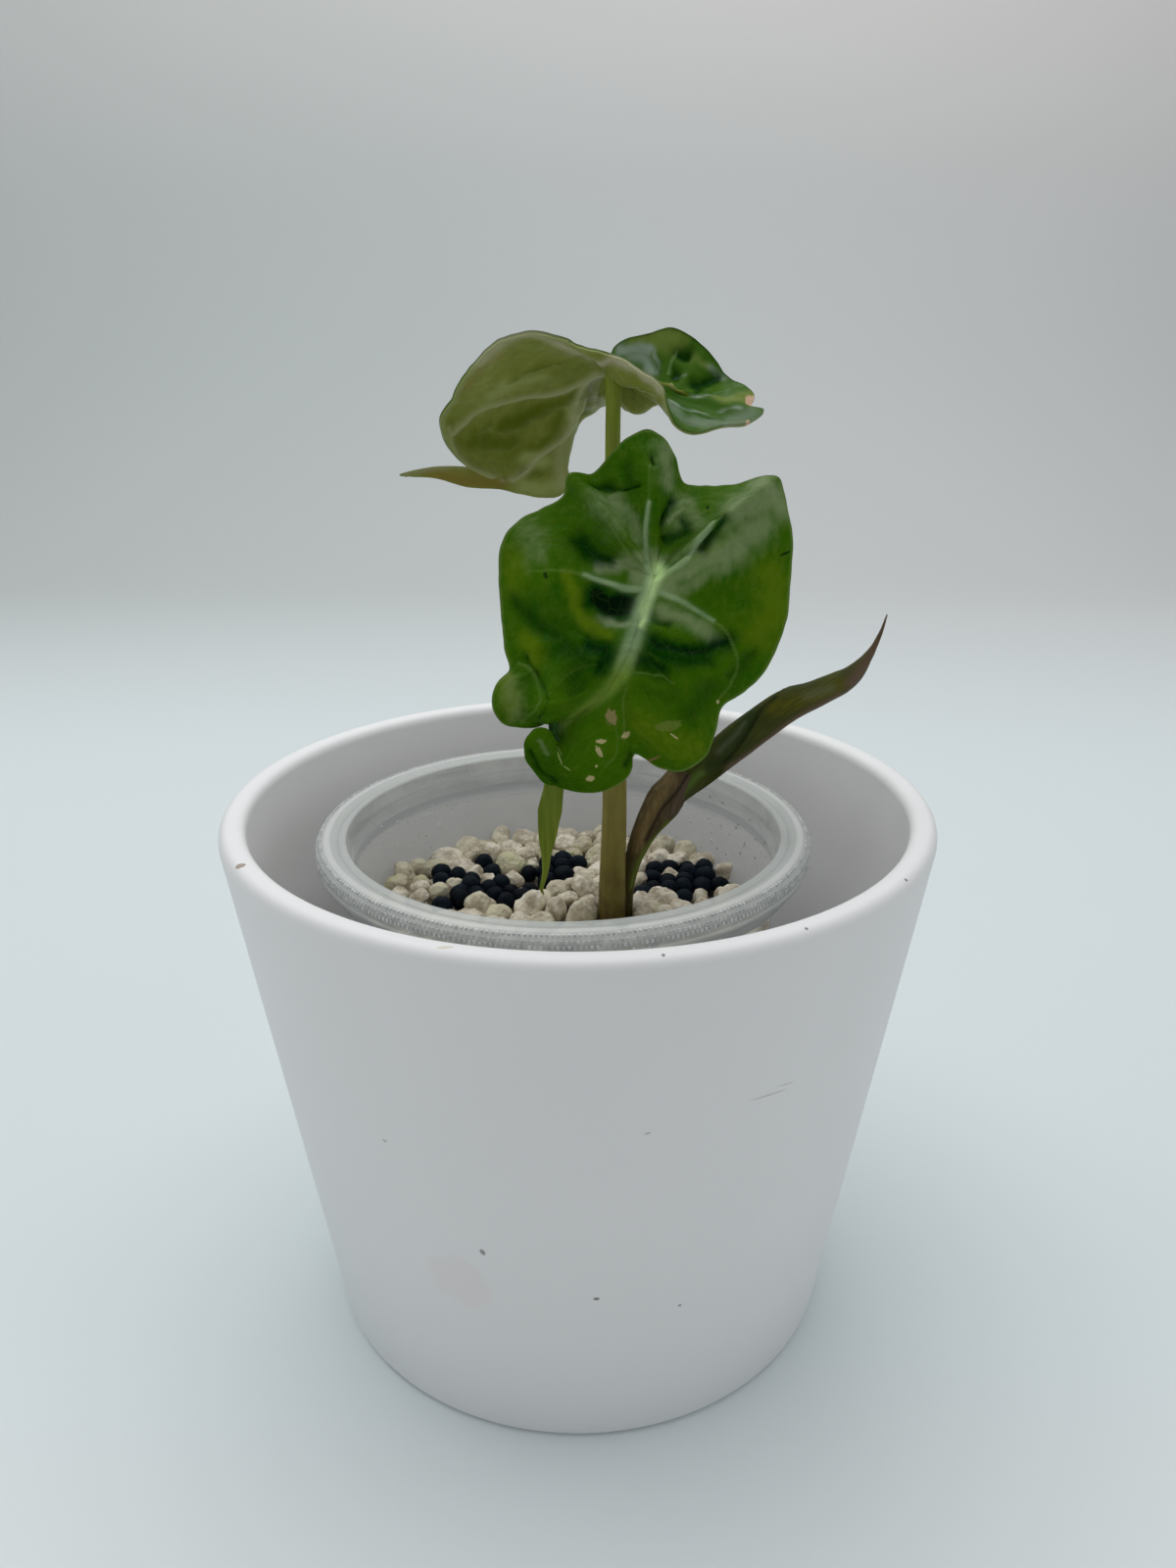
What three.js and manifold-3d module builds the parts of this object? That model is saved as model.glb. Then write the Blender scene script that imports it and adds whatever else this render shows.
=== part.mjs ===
// Potted venom alocasia: two open leaves and one furled new leaf, growing in pumice
// gravel in a clear cup that stands loose in a tapered white pot.
// Millimetres, +Z up, origin on the ground under the pot's axis. The front is -Y.
import * as THREE from "three";
import { mergeVertices } from "three/addons/utils/BufferGeometryUtils.js";
import Module from "manifold-3d";

const wasm = await Module();
wasm.setup();

// Driving dimensions
const GAP = 0.3; // clearance between pieces that touch
const SLIVER = 0.04; // corners closer to a straight line than this are dropped after a cut
const POT = { rimRadius: 70, height: 111.5, footRadius: 54, wall: 5.2, floor: 5, foot: 1.5 };
const CUP = {
  x: -3,
  y: 0.7,
  footRadius: 32.5,
  shoulderRadius: 44.4,
  rimRadius: 49.6,
  rimTop: 105,
  wall: 1,
};
const BED = { level: 84, stones: 120, stoneSize: 3.7, wallGap: 0.4 };
const BEAD = { radius: 2.35, pitch: 4.5, level: 85.6, tray: 84.8, margin: 1, clear: 2.7 };
const NECK = { x: 7.8, y: -1.2, wide: 5.7, deep: 5, height: 20 };
const BLADE = { half: 0.36, rings: 7, hollow: 0.7, reach: 2.2, ridge: 0.5, midrib: 0.7 };
const CREST = [0.56, 0.76]; // where a folded rib steps back, as shares of its length
const STALK = { x: 7.2, y: -0.3, foot: 78 };
const CORM = { x: 8.2, y: -1, top: 77.6, height: 14, radius: 6.5, roots: 5, rootRadius: 1 };
const ROUND = { pot: 64, cup: 52, bed: 36, stalk: 12, patch: 16 };

// Bead patches as [x, y, radius] of the discs that they fill
const LEFT_PATCH = [
  [-24, 5, 6],
  [-18, 9, 6],
  [-25, 18, 5.5],
  [-9, 8, 5.5],
  [-5, 15, 4.5],
  [-8, 21, 5],
];
const RIGHT_PATCH = [
  [18, 18, 5.5],
  [24.5, 20, 4],
  [20, 11, 4.5],
  [27, 13, 4.5],
];

// Each rib runs from a station on the midrib (0 at the stalk, 8 at the tip) to a point on
// the leaf's edge, listed anticlockwise on the leaf's upper face. Its bow is how far the
// rib's middle stands off the straight line. A fold steps the rib back behind a crest.
const rib = (station, x, y, z, bow = [0, 0, 0], fold = 0, isVein = false) => ({
  station,
  edge: new THREE.Vector3(x, y, z),
  bow: new THREE.Vector3(...bow),
  fold,
  isVein,
});
const vein = (station, x, y, z, bow, fold) => rib(station, x, y, z, bow, fold, true);

// Front leaf: the midrib runs down to the tail lobe, where it bends back into the drip tip.
// The stations go on down the middle of the tail lobe instead, which hooks up at its left.
const FRONT_MIDRIB = [
  [13, -23.5, 159.5],
  [10.5, -27.5, 153.5],
  [8, -31, 147.5],
  [4.5, -32.5, 142],
  [-0.5, -33, 138],
  [-1.2, -34.8, 134],
  [-2.6, -36.3, 131.8],
  [-4.2, -37, 131],
  [-5.6, -37.2, 131.2],
];
const PUFF = [0, -2.6, 1.1];
const FRONT_RIBS = [
  rib(8, -9, -36.5, 132.5),
  rib(8, -7.8, -36.5, 130),
  rib(7, -5.5, -36.5, 127.6, [0, -0.4, 0]),
  rib(6, -3, -36.5, 126.5, [0, -0.6, 0]),
  rib(5, 2.5, -37, 126, [0, -0.8, 0]),
  rib(4, 7, -36.5, 127.5, [0, -1.4, 0]),
  rib(3, 9, -35.5, 129.5, [0, -0.6, 0]),
  vein(2.4, 9.5, -35, 132),
  rib(2.2, 13.5, -36, 130, [0, -1, 0.4]),
  rib(1.9, 17.5, -36.5, 129.5, [0, -1.6, 0.6]),
  rib(1.6, 21.5, -35, 131.5, [0, -2, 0.8]),
  rib(1.4, 23, -33, 135, PUFF),
  vein(1.2, 24.5, -31, 139, PUFF),
  rib(1, 28.5, -29.5, 141.5, PUFF),
  rib(0.7, 33, -27, 145.5, PUFF),
  rib(0.4, 35.5, -24.5, 151.5, PUFF),
  rib(0.2, 36.5, -21.5, 159, PUFF),
  vein(0, 36.5, -18.5, 166.5, PUFF),
  rib(0, 35, -18, 173, PUFF),
  vein(0, 34, -18, 175.5, PUFF),
  rib(0, 31, -17.5, 175.5, PUFF),
  rib(0, 26, -16.5, 174, PUFF),
  vein(0, 20.5, -16.5, 173.5, PUFF),
  rib(0, 18, -17, 174.5, PUFF),
  rib(0, 16.5, -16.5, 178.5, PUFF),
  rib(0, 14.5, -16.5, 181.5, PUFF),
  vein(0, 12, -16, 183, PUFF),
  rib(0, 8.5, -15.5, 182, PUFF),
  rib(0, 5.5, -15.5, 179, PUFF),
  rib(0, 2.5, -15.5, 176, PUFF),
  vein(0, -1.5, -17.5, 176, PUFF),
  rib(0, -2.5, -17, 172.5, PUFF),
  rib(0, -6, -17.5, 170.5, PUFF),
  rib(0, -10.5, -18.5, 168, PUFF),
  rib(0, -13, -19.5, 164.5, PUFF),
  vein(0.4, -13.5, -21.5, 159, PUFF),
  rib(0.9, -13, -24, 152.5, PUFF),
  rib(1.4, -12.5, -26, 148, PUFF),
  vein(1.9, -11.5, -27.5, 144.5, [0, -2.4, 0.5], 1.5),
  rib(2.4, -14, -29, 142, [0.5, -2, 0], 4.2),
  rib(2.8, -14.5, -30.5, 139, [0.5, -2, 0], 5),
  vein(3.2, -12.5, -31, 136, [0, -1.6, 0], 4),
  rib(3.6, -8.5, -32, 136, [0, -1.2, 0], 1.6),
  rib(4, -5, -31.5, 137, [0, -0.6, 0]),
  rib(5, -3.4, -33.4, 134.6),
  rib(6, -4, -35, 134.2),
  rib(6, -4.6, -35.6, 135.8),
  rib(7, -5.4, -36, 136.8, [0, -0.5, 0]),
  rib(7, -6.7, -36.2, 137, [0, -0.6, 0]),
  rib(8, -8.4, -36.4, 135.6, [0, -0.4, 0]),
];
const FRONT_TIP = [
  [0.6, -32.9, 138.6],
  [-2.2, -31, 134],
  [-3.4, -30.2, 129],
  [-3.8, -30, 123.5],
  [-4.9, -30, 114],
  [-6.9, -30, 103.5],
];

// Top leaf: twisted, its left half turned away and its right half cupped towards the front
const TOP_MIDRIB = [
  [6.5, 0, 193],
  [1.5, 8, 189],
  [-0.5, 15, 183.5],
  [-3.5, 19, 178.5],
  [-9, 21.5, 174.5],
  [-15, 21.5, 171],
  [-22, 21, 171.5],
  [-28.5, 20.5, 172.5],
  [-34.5, 20, 172],
];
const DOME = [0, 1.8, 1.4];
const TOP_RIBS = [
  rib(8, -35.5, 20, 172),
  rib(7, -28.5, 20.5, 171.3),
  rib(6, -22, 21, 169.5),
  rib(5.4, -16, 22, 169),
  rib(4.8, -12, 24, 168),
  rib(4.3, -7.5, 25, 167),
  vein(3.8, -3.5, 26, 167.5),
  rib(3.3, -2, 27, 170),
  rib(2.6, -2.5, 28, 174),
  rib(1.8, -1, 29, 179.5, [0, 0, 1]),
  vein(1, 0.5, 29, 182, [0, 0, 1]),
  rib(0.4, 3, 28, 183.5),
  rib(0, 5.5, 26, 186, [0, 0, -1.5]),
  rib(0, 6.5, 24, 191, [0, 0, -4]),
  rib(0, 7, 21, 195.5, [0, 0, -6]),
  vein(0, 9.5, 19, 198, [0, 0, -7.5]),
  rib(0, 14, 19, 198.5, [0, 0, -8]),
  rib(0, 18, 18, 199.5, [0, 0, -7.5]),
  rib(0, 21.5, 17, 198, [0, 0, -6.5]),
  vein(0, 25, 15, 195, [0, 0, -5]),
  rib(0, 28.5, 11, 190.5, [0, 0, -3.5]),
  rib(0, 31.5, 6, 189, [0, 0, -2.5]),
  rib(0, 32.5, 2, 187, [0, 0, -1.5]),
  vein(0, 33.5, -1, 185, [0, 0, -1]),
  rib(0, 30.5, -4, 183.5, [0, 0, -0.5]),
  rib(0, 25.5, -8, 183.5, [0.5, 0, 0]),
  rib(0, 20, -12, 182.5, [1, 0.5, 0.5]),
  rib(0, 16.5, -14, 184, [1.5, 1, 0.5]),
  vein(0, 15, -15, 187, [1, 0.5, -0.5]),
  rib(0, 14, -14, 190, [0, 0, -1.5]),
  rib(0, 11, -12, 192.5, [0, 0, -2]),
  rib(0, 8, -9, 194.5, [0, 0, -1.5]),
  rib(0, 5, -7, 195.5, [0, 0, -0.5]),
  rib(0, 0.5, -10, 196.5),
  rib(0, -3.5, -14, 198),
  vein(0, -8, -15, 198.5, [0, 0.5, 0.5]),
  rib(0.4, -12.5, -13, 197.5, DOME),
  rib(0.9, -17, -10, 194.5, DOME),
  rib(1.4, -20.5, -6, 190.5, DOME),
  vein(1.9, -22, -3, 187.5, DOME),
  rib(2.4, -25, 1, 184, DOME),
  rib(2.9, -25, 5, 180.5, DOME),
  vein(3.4, -23.5, 9, 177, [0, 1.2, 1]),
  rib(3.9, -21, 13, 174, [0, 0.8, 0.6]),
  rib(4.4, -17.5, 18, 172),
  rib(5, -16.5, 21, 172.5),
  rib(6, -22.5, 21, 173.5),
  rib(7, -29, 20.5, 173.5),
].reverse();

// Turning a closed geometry into a solid, and back
const vectorOf = ([x, y, z]) => new THREE.Vector3(x, y, z);

function solidOf(geometry) {
  const bare = geometry.clone();
  bare.deleteAttribute("normal");
  bare.deleteAttribute("uv");
  const merged = mergeVertices(bare, 1e-4);
  const index = merged.getIndex().array;
  const triangles = [];
  for (let i = 0; i < index.length; i += 3) {
    const [a, b, c] = index.slice(i, i + 3);
    if (a !== b && b !== c && c !== a) triangles.push(a, b, c);
  }
  const vertProperties = Float32Array.from(merged.getAttribute("position").array);
  const build = (order) => {
    const triVerts = Uint32Array.from(order);
    return new wasm.Manifold(new wasm.Mesh({ numProp: 3, vertProperties, triVerts }));
  };
  const solid = build(triangles);
  return solid.volume() > 0 ? solid : build(triangles.reverse());
}

function geometryOf(solid) {
  const mesh = solid.getMesh();
  const geometry = new THREE.BufferGeometry();
  geometry.setAttribute("position", new THREE.BufferAttribute(mesh.vertProperties, 3));
  geometry.setIndex(new THREE.BufferAttribute(mesh.triVerts, 1));
  geometry.computeVertexNormals();
  return geometry;
}

// A cut can leave loose scraps and slivers: only the largest body stays, without slivers
function largestBody(solid) {
  const bodies = solid.decompose();
  const largest = bodies.reduce((best, body) => (body.volume() > best.volume() ? body : best));
  return largest.simplify(SLIVER);
}

const joined = (solids) => solids.reduce((sum, solid) => sum.add(solid));

// The same draw every time
function seededRandom(seed) {
  let state = seed;
  return () => {
    state = (state * 1664525 + 1013904223) % 4294967296;
    return state / 4294967296;
  };
}

// Turned pieces: [radius, height] points from the axis, round the outside, back to the axis
function turned(points, sides, x = 0, y = 0) {
  const profile = points.map(([radius, height]) => new THREE.Vector2(radius, height));
  const geometry = new THREE.LatheGeometry(profile, sides);
  return solidOf(geometry.rotateX(Math.PI / 2).translate(x, y, 0));
}

// A closed round bar along a curve, with its half widths given along its length
function bar(curve, sides, steps, sizes, reference) {
  const geometry = new THREE.CylinderGeometry(1, 1, 1, sides, steps);
  const position = geometry.getAttribute("position");
  for (let i = 0; i < position.count; i += 1) {
    const along = THREE.MathUtils.clamp(position.getY(i) + 0.5, 0, 1);
    const [wide, deep] = sizes(along);
    const tangent = curve.getTangent(along);
    const side = new THREE.Vector3().crossVectors(reference, tangent).normalize();
    const front = new THREE.Vector3().crossVectors(tangent, side);
    const point = curve.getPoint(along);
    point.addScaledVector(side, position.getX(i) * wide);
    point.addScaledVector(front, position.getZ(i) * deep);
    position.setXYZ(i, point.x, point.y, point.z);
  }
  return solidOf(geometry);
}

// Straight steps between [along, wide, deep] rows
function widths(rows) {
  return (along) => {
    const next = Math.max(1, rows.findIndex(([place]) => place >= along));
    const [from, fromWide, fromDeep] = rows[next - 1];
    const [to, toWide, toDeep] = rows[next];
    const share = (along - from) / (to - from);
    return [
      THREE.MathUtils.lerp(fromWide, toWide, share),
      THREE.MathUtils.lerp(fromDeep, toDeep, share),
    ];
  };
}

const curveThrough = (points) => new THREE.CatmullRomCurve3(points.map(vectorOf));

// How far a rib lies from the vein before it, as a share of the way to the next vein
function shareBetweenVeins(ribs, index) {
  const count = ribs.length;
  let before = 0;
  while (!ribs[(index - before + count) % count].isVein) before += 1;
  let after = 0;
  while (!ribs[(index + after) % count].isVein) after += 1;
  return before + after === 0 ? 0 : before / (before + after);
}

// A leaf blade: a sheet through all the ribs, hollowed between its veins near the stalk,
// then given its thickness, with a ridge under each vein and under the midrib
function blade(midrib, ribs, extra) {
  const stations = midrib.map(vectorOf);
  const sheet = stations.map((point) => point.clone());
  const under = stations.map((point, i) => BLADE.midrib * (1 - i / midrib.length));
  const hollows = stations.map(() => 0);
  const foot = ribs.map(({ station }) => Math.round(station));
  ribs.forEach(({ edge, bow, fold, isVein }, i) => {
    const base = stations[foot[i]];
    const between = Math.sin(Math.PI * shareBetweenVeins(ribs, i)) ** 2;
    for (let ring = 1; ring <= BLADE.rings; ring += 1) {
      const out = ring / BLADE.rings;
      const point = base.clone().lerp(edge, out);
      point.addScaledVector(bow, 4 * out * (1 - out));
      point.y += fold * (THREE.MathUtils.smoothstep(out, ...CREST) - out);
      sheet.push(point);
      const reach = BLADE.reach * out * Math.exp(1 - BLADE.reach * out);
      hollows.push(foot[i] > 3 ? 0 : BLADE.hollow * between * reach ** 2);
      under.push(isVein ? BLADE.ridge * (1 - out) : 0);
    }
  });

  const at = (i, ring) => {
    const place = (i + ribs.length) % ribs.length;
    return ring === 0 ? foot[place] : stations.length + place * BLADE.rings + ring - 1;
  };
  const faces = [];
  for (let i = 0; i < ribs.length; i += 1) {
    for (let ring = 0; ring < BLADE.rings; ring += 1) {
      const [a, b] = [at(i, ring), at(i + 1, ring)];
      const [c, d] = [at(i + 1, ring + 1), at(i, ring + 1)];
      if (a !== b) faces.push([a, b, c]);
      faces.push([a, c, d]);
    }
  }

  const normalsOf = (points) => {
    const normals = points.map(() => new THREE.Vector3());
    for (const [a, b, c] of faces) {
      const edgeB = points[b].clone().sub(points[a]);
      const edgeC = points[c].clone().sub(points[a]);
      const normal = edgeC.cross(edgeB);
      for (const corner of [a, b, c]) normals[corner].add(normal);
    }
    return normals.map((normal) => normal.normalize());
  };
  const flat = normalsOf(sheet);
  const shaped = sheet.map((point, i) => point.clone().addScaledVector(flat[i], -hollows[i]));
  const normals = normalsOf(shaped);

  const half = BLADE.half + extra;
  const upper = shaped.map((point, i) => point.clone().addScaledVector(normals[i], half));
  const lower = shaped.map((point, i) => (
    point.clone().addScaledVector(normals[i], -half - under[i])
  ));
  const count = shaped.length;
  const triangles = faces.flatMap(([a, b, c]) => [a, c, b, count + a, count + b, count + c]);
  for (let i = 0; i < ribs.length; i += 1) {
    const [a, b] = [at(i, BLADE.rings), at(i + 1, BLADE.rings)];
    triangles.push(a, count + b, b, a, count + a, count + b);
  }
  const geometry = new THREE.BufferGeometry().setFromPoints([...upper, ...lower]);
  geometry.setIndex(triangles);
  return solidOf(geometry);
}

// Outer pot: tapered shell on a flat foot, with a full round rim
function outerPot() {
  const round = POT.wall / 2;
  const shoulder = POT.height - round;
  const rim = Array.from({ length: 9 }, (unused, i) => {
    const turn = (Math.PI * i) / 8;
    return [
      POT.rimRadius - round + round * Math.cos(turn),
      shoulder + round * Math.sin(turn),
    ];
  });
  const insideFoot = POT.footRadius - POT.wall;
  return turned(
    [
      [0, 0],
      [POT.footRadius - POT.foot, 0],
      [POT.footRadius - 0.4, POT.foot * 0.4],
      [POT.footRadius + 0.1, POT.foot],
      ...rim,
      [insideFoot + 0.8, POT.floor + 4],
      [insideFoot - 0.4, POT.floor + 1.2],
      [insideFoot - 3, POT.floor],
      [0, POT.floor],
    ],
    ROUND.pot,
  );
}

// Inner cup: thin clear wall, a stacking lip, a ribbed band and a wide flat rim
const cupFloor = POT.floor + GAP;

function cupInsideRadius(height) {
  const share = (height - cupFloor) / (CUP.rimTop - cupFloor);
  const foot = CUP.footRadius - CUP.wall;
  return THREE.MathUtils.lerp(foot, CUP.shoulderRadius - CUP.wall, share);
}

function innerCup() {
  const top = CUP.rimTop;
  const rim = CUP.rimRadius;
  const neck = CUP.shoulderRadius;
  return turned(
    [
      [0, cupFloor],
      [CUP.footRadius - 1.5, cupFloor],
      [CUP.footRadius, cupFloor + 1.5],
      [neck - 0.6, top - 9],
      [neck + 2.6, top - 8.4],
      [neck + 3, top - 6.6],
      [rim - 0.9, top - 5.4],
      [rim, top - 4.4],
      [rim, top - 1],
      [rim - 0.8, top - 0.2],
      [rim - 1.8, top],
      [neck + 0.4, top],
      [neck - 0.6, top - 0.7],
      [neck - 1, top - 2],
      [cupInsideRadius(top - 10), top - 10],
      [CUP.footRadius - CUP.wall, cupFloor + 3],
      [CUP.footRadius - 3, cupFloor + CUP.wall],
      [0, cupFloor + CUP.wall],
    ],
    ROUND.cup,
    CUP.x,
    CUP.y,
  );
}

// Stalks, sheath and furled leaf
const tallCurve = curveThrough([
  [STALK.x, STALK.y, STALK.foot],
  [STALK.x, STALK.y, 100],
  [STALK.x, STALK.y + 0.1, 125],
  [6.6, STALK.y + 0.2, 160],
  [6.4, 0, 180],
  [6.5, 0, 191.6],
]);
const tallWidths = (grow) => widths([
  [0, 1.3 + grow, 1.3 + grow],
  [0.55, 1.45 + grow, 1.45 + grow],
  [0.88, 1.35 + grow, 1.35 + grow],
  [1.01, 1.7 + grow, 1.7 + grow],
]);
const frontCurve = curveThrough([
  [STALK.x - 0.4, -1.9, STALK.foot],
  [STALK.x - 0.3, -1.9, 92],
  [STALK.x, -2, 108],
  [STALK.x, -2.4, 121],
  [8, -5.5, 134],
  [10.3, -13, 147],
  [12.6, -21.5, 157.6],
  [13.1, -24.2, 160.2],
]);
const frontWidths = widths([
  [0, 3.2, 2.7],
  [0.1, 3.3, 2.8],
  [0.24, 2.55, 2.5],
  [0.46, 2.3, 2.3],
  [0.6, 1.7, 1.8],
  [0.92, 1.35, 1.4],
  [1.01, 1.7, 1.7],
]);
const sheathCurve = curveThrough([
  [10.2, 0.6, STALK.foot],
  [10.8, 0.6, 90],
  [11.9, 0.5, 97],
  [14, 0.5, 103.5],
  [17.6, 0.8, 109.5],
  [22.6, 1.4, 115.5],
]);
const sheathWidths = widths([
  [0, 1.6, 1.6],
  [0.35, 2, 1.9],
  [0.6, 2.8, 2.4],
  [0.8, 3.9, 3],
  [1.01, 3.6, 3],
]);
const furledCurve = curveThrough([
  [15.6, 0.7, 106.5],
  [20.5, 1.3, 112.5],
  [27, 2, 118],
  [34.5, 2.8, 123.5],
  [41.5, 3.4, 128.3],
  [48, 4, 132],
  [54, 4.6, 135.6],
  [57.8, 5.1, 139.4],
  [59.6, 5.6, 143],
  [60.7, 6, 146.7],
]);
const furledWidths = (grow) => widths([
  [0, 1.5 + grow, 1.4 + grow],
  [0.2, 3 + grow, 2.1 + grow],
  [0.36, 4.2 + grow, 2.6 + grow],
  [0.55, 3.6 + grow, 2.2 + grow],
  [0.68, 3 + grow, 1.8 + grow],
  [0.8, 2 + grow, 1.2 + grow],
  [0.88, 0.7 + grow, 0.6 + grow],
  [1.01, 0.35 + grow, 0.35 + grow],
]);
const dripTipWidths = (grow) => widths([
  [0, 0.9 + grow, 0.45 + grow],
  [0.2, 1.7 + grow, 0.42 + grow],
  [0.5, 2.3 + grow, 0.4 + grow],
  [0.75, 1.5 + grow, 0.38 + grow],
  [1.01, 0.3 + grow, 0.3 + grow],
]);
const ACROSS = new THREE.Vector3(1, 0, 0);
const AWAY = new THREE.Vector3(0, 1, 0);
const tallStalk = (grow) => bar(tallCurve, ROUND.stalk, 14, tallWidths(grow), ACROSS);
const furledLeaf = (grow) => bar(furledCurve, 14, 20, furledWidths(grow), AWAY);
const wholeSheath = bar(sheathCurve, 14, 12, sheathWidths, AWAY);
const wholeFront = bar(frontCurve, 14, 20, frontWidths, ACROSS);
const topBlade = (grow) => blade(TOP_MIDRIB, TOP_RIBS, grow);
const frontBlade = (grow) => largestBody(
  blade(FRONT_MIDRIB, FRONT_RIBS, grow).add(
    bar(curveThrough(FRONT_TIP), 8, 14, dripTipWidths(grow), AWAY),
  ),
);

const petioleTop = () => largestBody(tallStalk(0).subtract(topBlade(GAP)));
const petioleFront = () => largestBody(
  wholeFront.subtract(tallStalk(GAP)).subtract(frontBlade(GAP)),
);

function newLeafSheath() {
  const around = bar(frontCurve, 14, 20, (along) => (
    frontWidths(along).map((half) => half + GAP)
  ), ACROSS);
  return largestBody(
    wholeSheath.subtract(around).subtract(tallStalk(GAP)).subtract(furledLeaf(GAP)),
  );
}

// Corm with its roots, standing in a plain hole in the gravel
function cormWithRoots(grow) {
  const middle = CORM.top - CORM.height / 2;
  const ball = new THREE.SphereGeometry(1, 10, 6);
  ball.scale(CORM.radius + grow, CORM.radius + grow, CORM.height / 2 + grow);
  const body = solidOf(ball.translate(CORM.x, CORM.y, middle));
  const random = seededRandom(11);
  const roots = Array.from({ length: CORM.roots }, (unused, i) => {
    const turn = (2 * Math.PI * (i + 0.4 * random())) / CORM.roots;
    const reach = 14 + 5 * random();
    const depth = 24 + 14 * random();
    const step = (out, down) => [
      CORM.x + out * Math.cos(turn),
      CORM.y + out * Math.sin(turn),
      middle - down,
    ];
    const path = curveThrough([
      step(2, 0),
      step(reach * 0.6, 6),
      step(reach * 0.9, depth * 0.55),
      step(reach, depth),
    ]);
    const size = (along) => Array(2).fill(CORM.rootRadius * (1 - 0.4 * along) + grow);
    return bar(path, 5, 4, size, new THREE.Vector3(-Math.sin(turn), Math.cos(turn), 0));
  });
  return joined([body, ...roots]);
}

// Bead patches: beads on a close grid, standing out of the flat bed of beads that they fill
const inPatch = (patch, x, y, extra) => patch.some(([centreX, centreY, radius]) => (
  Math.hypot(x - centreX, y - centreY) < radius + extra
));

function patchDiscs(patch, extra, bottom, top) {
  const height = top - bottom;
  return joined(patch.map(([x, y, radius]) => {
    const size = radius + extra;
    const disc = new THREE.CylinderGeometry(size, size, height, ROUND.patch);
    return solidOf(disc.rotateX(Math.PI / 2).translate(x, y, bottom + height / 2));
  }));
}

function beadCluster(patch, seed) {
  const random = seededRandom(seed);
  const tray = patchDiscs(patch, BEAD.margin, BED.level + GAP, BEAD.tray);
  const beads = [];
  for (let row = -9; row <= 9; row += 1) {
    for (let column = -9; column <= 9; column += 1) {
      const x = (column + (row % 2) / 2) * BEAD.pitch + 0.6 * (random() - 0.5);
      const y = row * BEAD.pitch * 0.866 + 0.6 * (random() - 0.5);
      const z = BEAD.level + 0.8 * random();
      if (!inPatch(patch, x, y, 0)) continue;
      const bead = new THREE.SphereGeometry(BEAD.radius, 6, 4).rotateX(Math.PI / 2);
      beads.push(solidOf(bead.rotateZ(z * 9).translate(x, y, z)));
    }
  }
  const above = new THREE.BoxGeometry(120, 120, 20).translate(0, 0, BEAD.tray + 9.9);
  return largestBody(joined([tray, joined(beads).intersect(solidOf(above))]));
}

// Pumice gravel: a filling that fits the cup, with stones standing out on top, hollowed
// for the bead patches and pierced by plain holes for the stalks and the corm
function pumiceBed() {
  const random = seededRandom(5);
  const fill = (level) => turned(
    [
      [0, cupFloor + CUP.wall + GAP],
      [CUP.footRadius - 4.5, cupFloor + CUP.wall + GAP],
      [cupInsideRadius(cupFloor + 6) - BED.wallGap - 0.2, cupFloor + 6],
      [cupInsideRadius(level) - BED.wallGap, level],
      [0, level],
    ],
    ROUND.bed,
    CUP.x,
    CUP.y,
  );
  const stones = [];
  const spread = cupInsideRadius(BED.level) - 2.4;
  for (let i = 0; i < BED.stones; i += 1) {
    const out = spread * Math.sqrt((i + 0.5) / BED.stones);
    const turn = i * Math.PI * (3 - Math.sqrt(5));
    const x = CUP.x + out * Math.cos(turn) + random() - 0.5;
    const y = CUP.y + out * Math.sin(turn) + random() - 0.5;
    const size = BED.stoneSize * (0.8 + 0.4 * random());
    const spin = random() * Math.PI;
    const z = BED.level + random() + Math.max(0, (y - 24) * 0.15);
    if (inPatch(LEFT_PATCH, x, y, 2.4) || inPatch(RIGHT_PATCH, x, y, 2.4)) continue;
    if (Math.hypot(x - NECK.x, y - NECK.y) < NECK.wide) continue;
    const stone = new THREE.IcosahedronGeometry(size, 0);
    stone.scale(1, 0.8, 0.75).rotateX(spin).rotateZ(spin * 7).translate(x, y, z);
    stones.push(solidOf(stone));
  }
  const neck = new THREE.CylinderGeometry(1, 1, NECK.height, ROUND.patch).rotateX(Math.PI / 2);
  const neckHole = neck.scale(NECK.wide, NECK.deep, 1).translate(NECK.x, NECK.y, BED.level);
  return largestBody(
    joined([fill(BED.level), ...stones])
      .intersect(fill(CUP.rimTop - 10))
      .subtract(patchDiscs(LEFT_PATCH, BEAD.clear, BED.level, CUP.rimTop))
      .subtract(patchDiscs(RIGHT_PATCH, BEAD.clear, BED.level, CUP.rimTop))
      .subtract(solidOf(neckHole))
      .subtract(cormWithRoots(GAP)),
  );
}

// Finishes from the photograph
const finish = (color, roughness, extra = {}) => (
  new THREE.MeshStandardMaterial({ color, roughness, metalness: 0, ...extra })
);
const matteWhite = finish(0xe9eaec, 0.55);
const clearPlastic = finish(0xdfe6e6, 0.2, { transparent: true, opacity: 0.4 });
const palePumice = finish(0xd9d2c3, 0.9);
const darkBead = finish(0x1b222b, 0.6);
const palestRoot = finish(0xd8cfae, 0.8);
const stalkGreen = finish(0x8f9440, 0.5);
const youngStalk = finish(0x8fa52f, 0.45);
const leafGreen = finish(0x2f6b14, 0.25);
const leafOlive = finish(0x5f7431, 0.35);
const sheathBrown = finish(0x6d5a48, 0.55);
const newLeafOlive = finish(0x4d5623, 0.4);

const plant = new THREE.Group();
function addPiece(name, solid, material) {
  const mesh = new THREE.Mesh(geometryOf(solid), material);
  mesh.name = name;
  plant.add(mesh);
}

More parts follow.
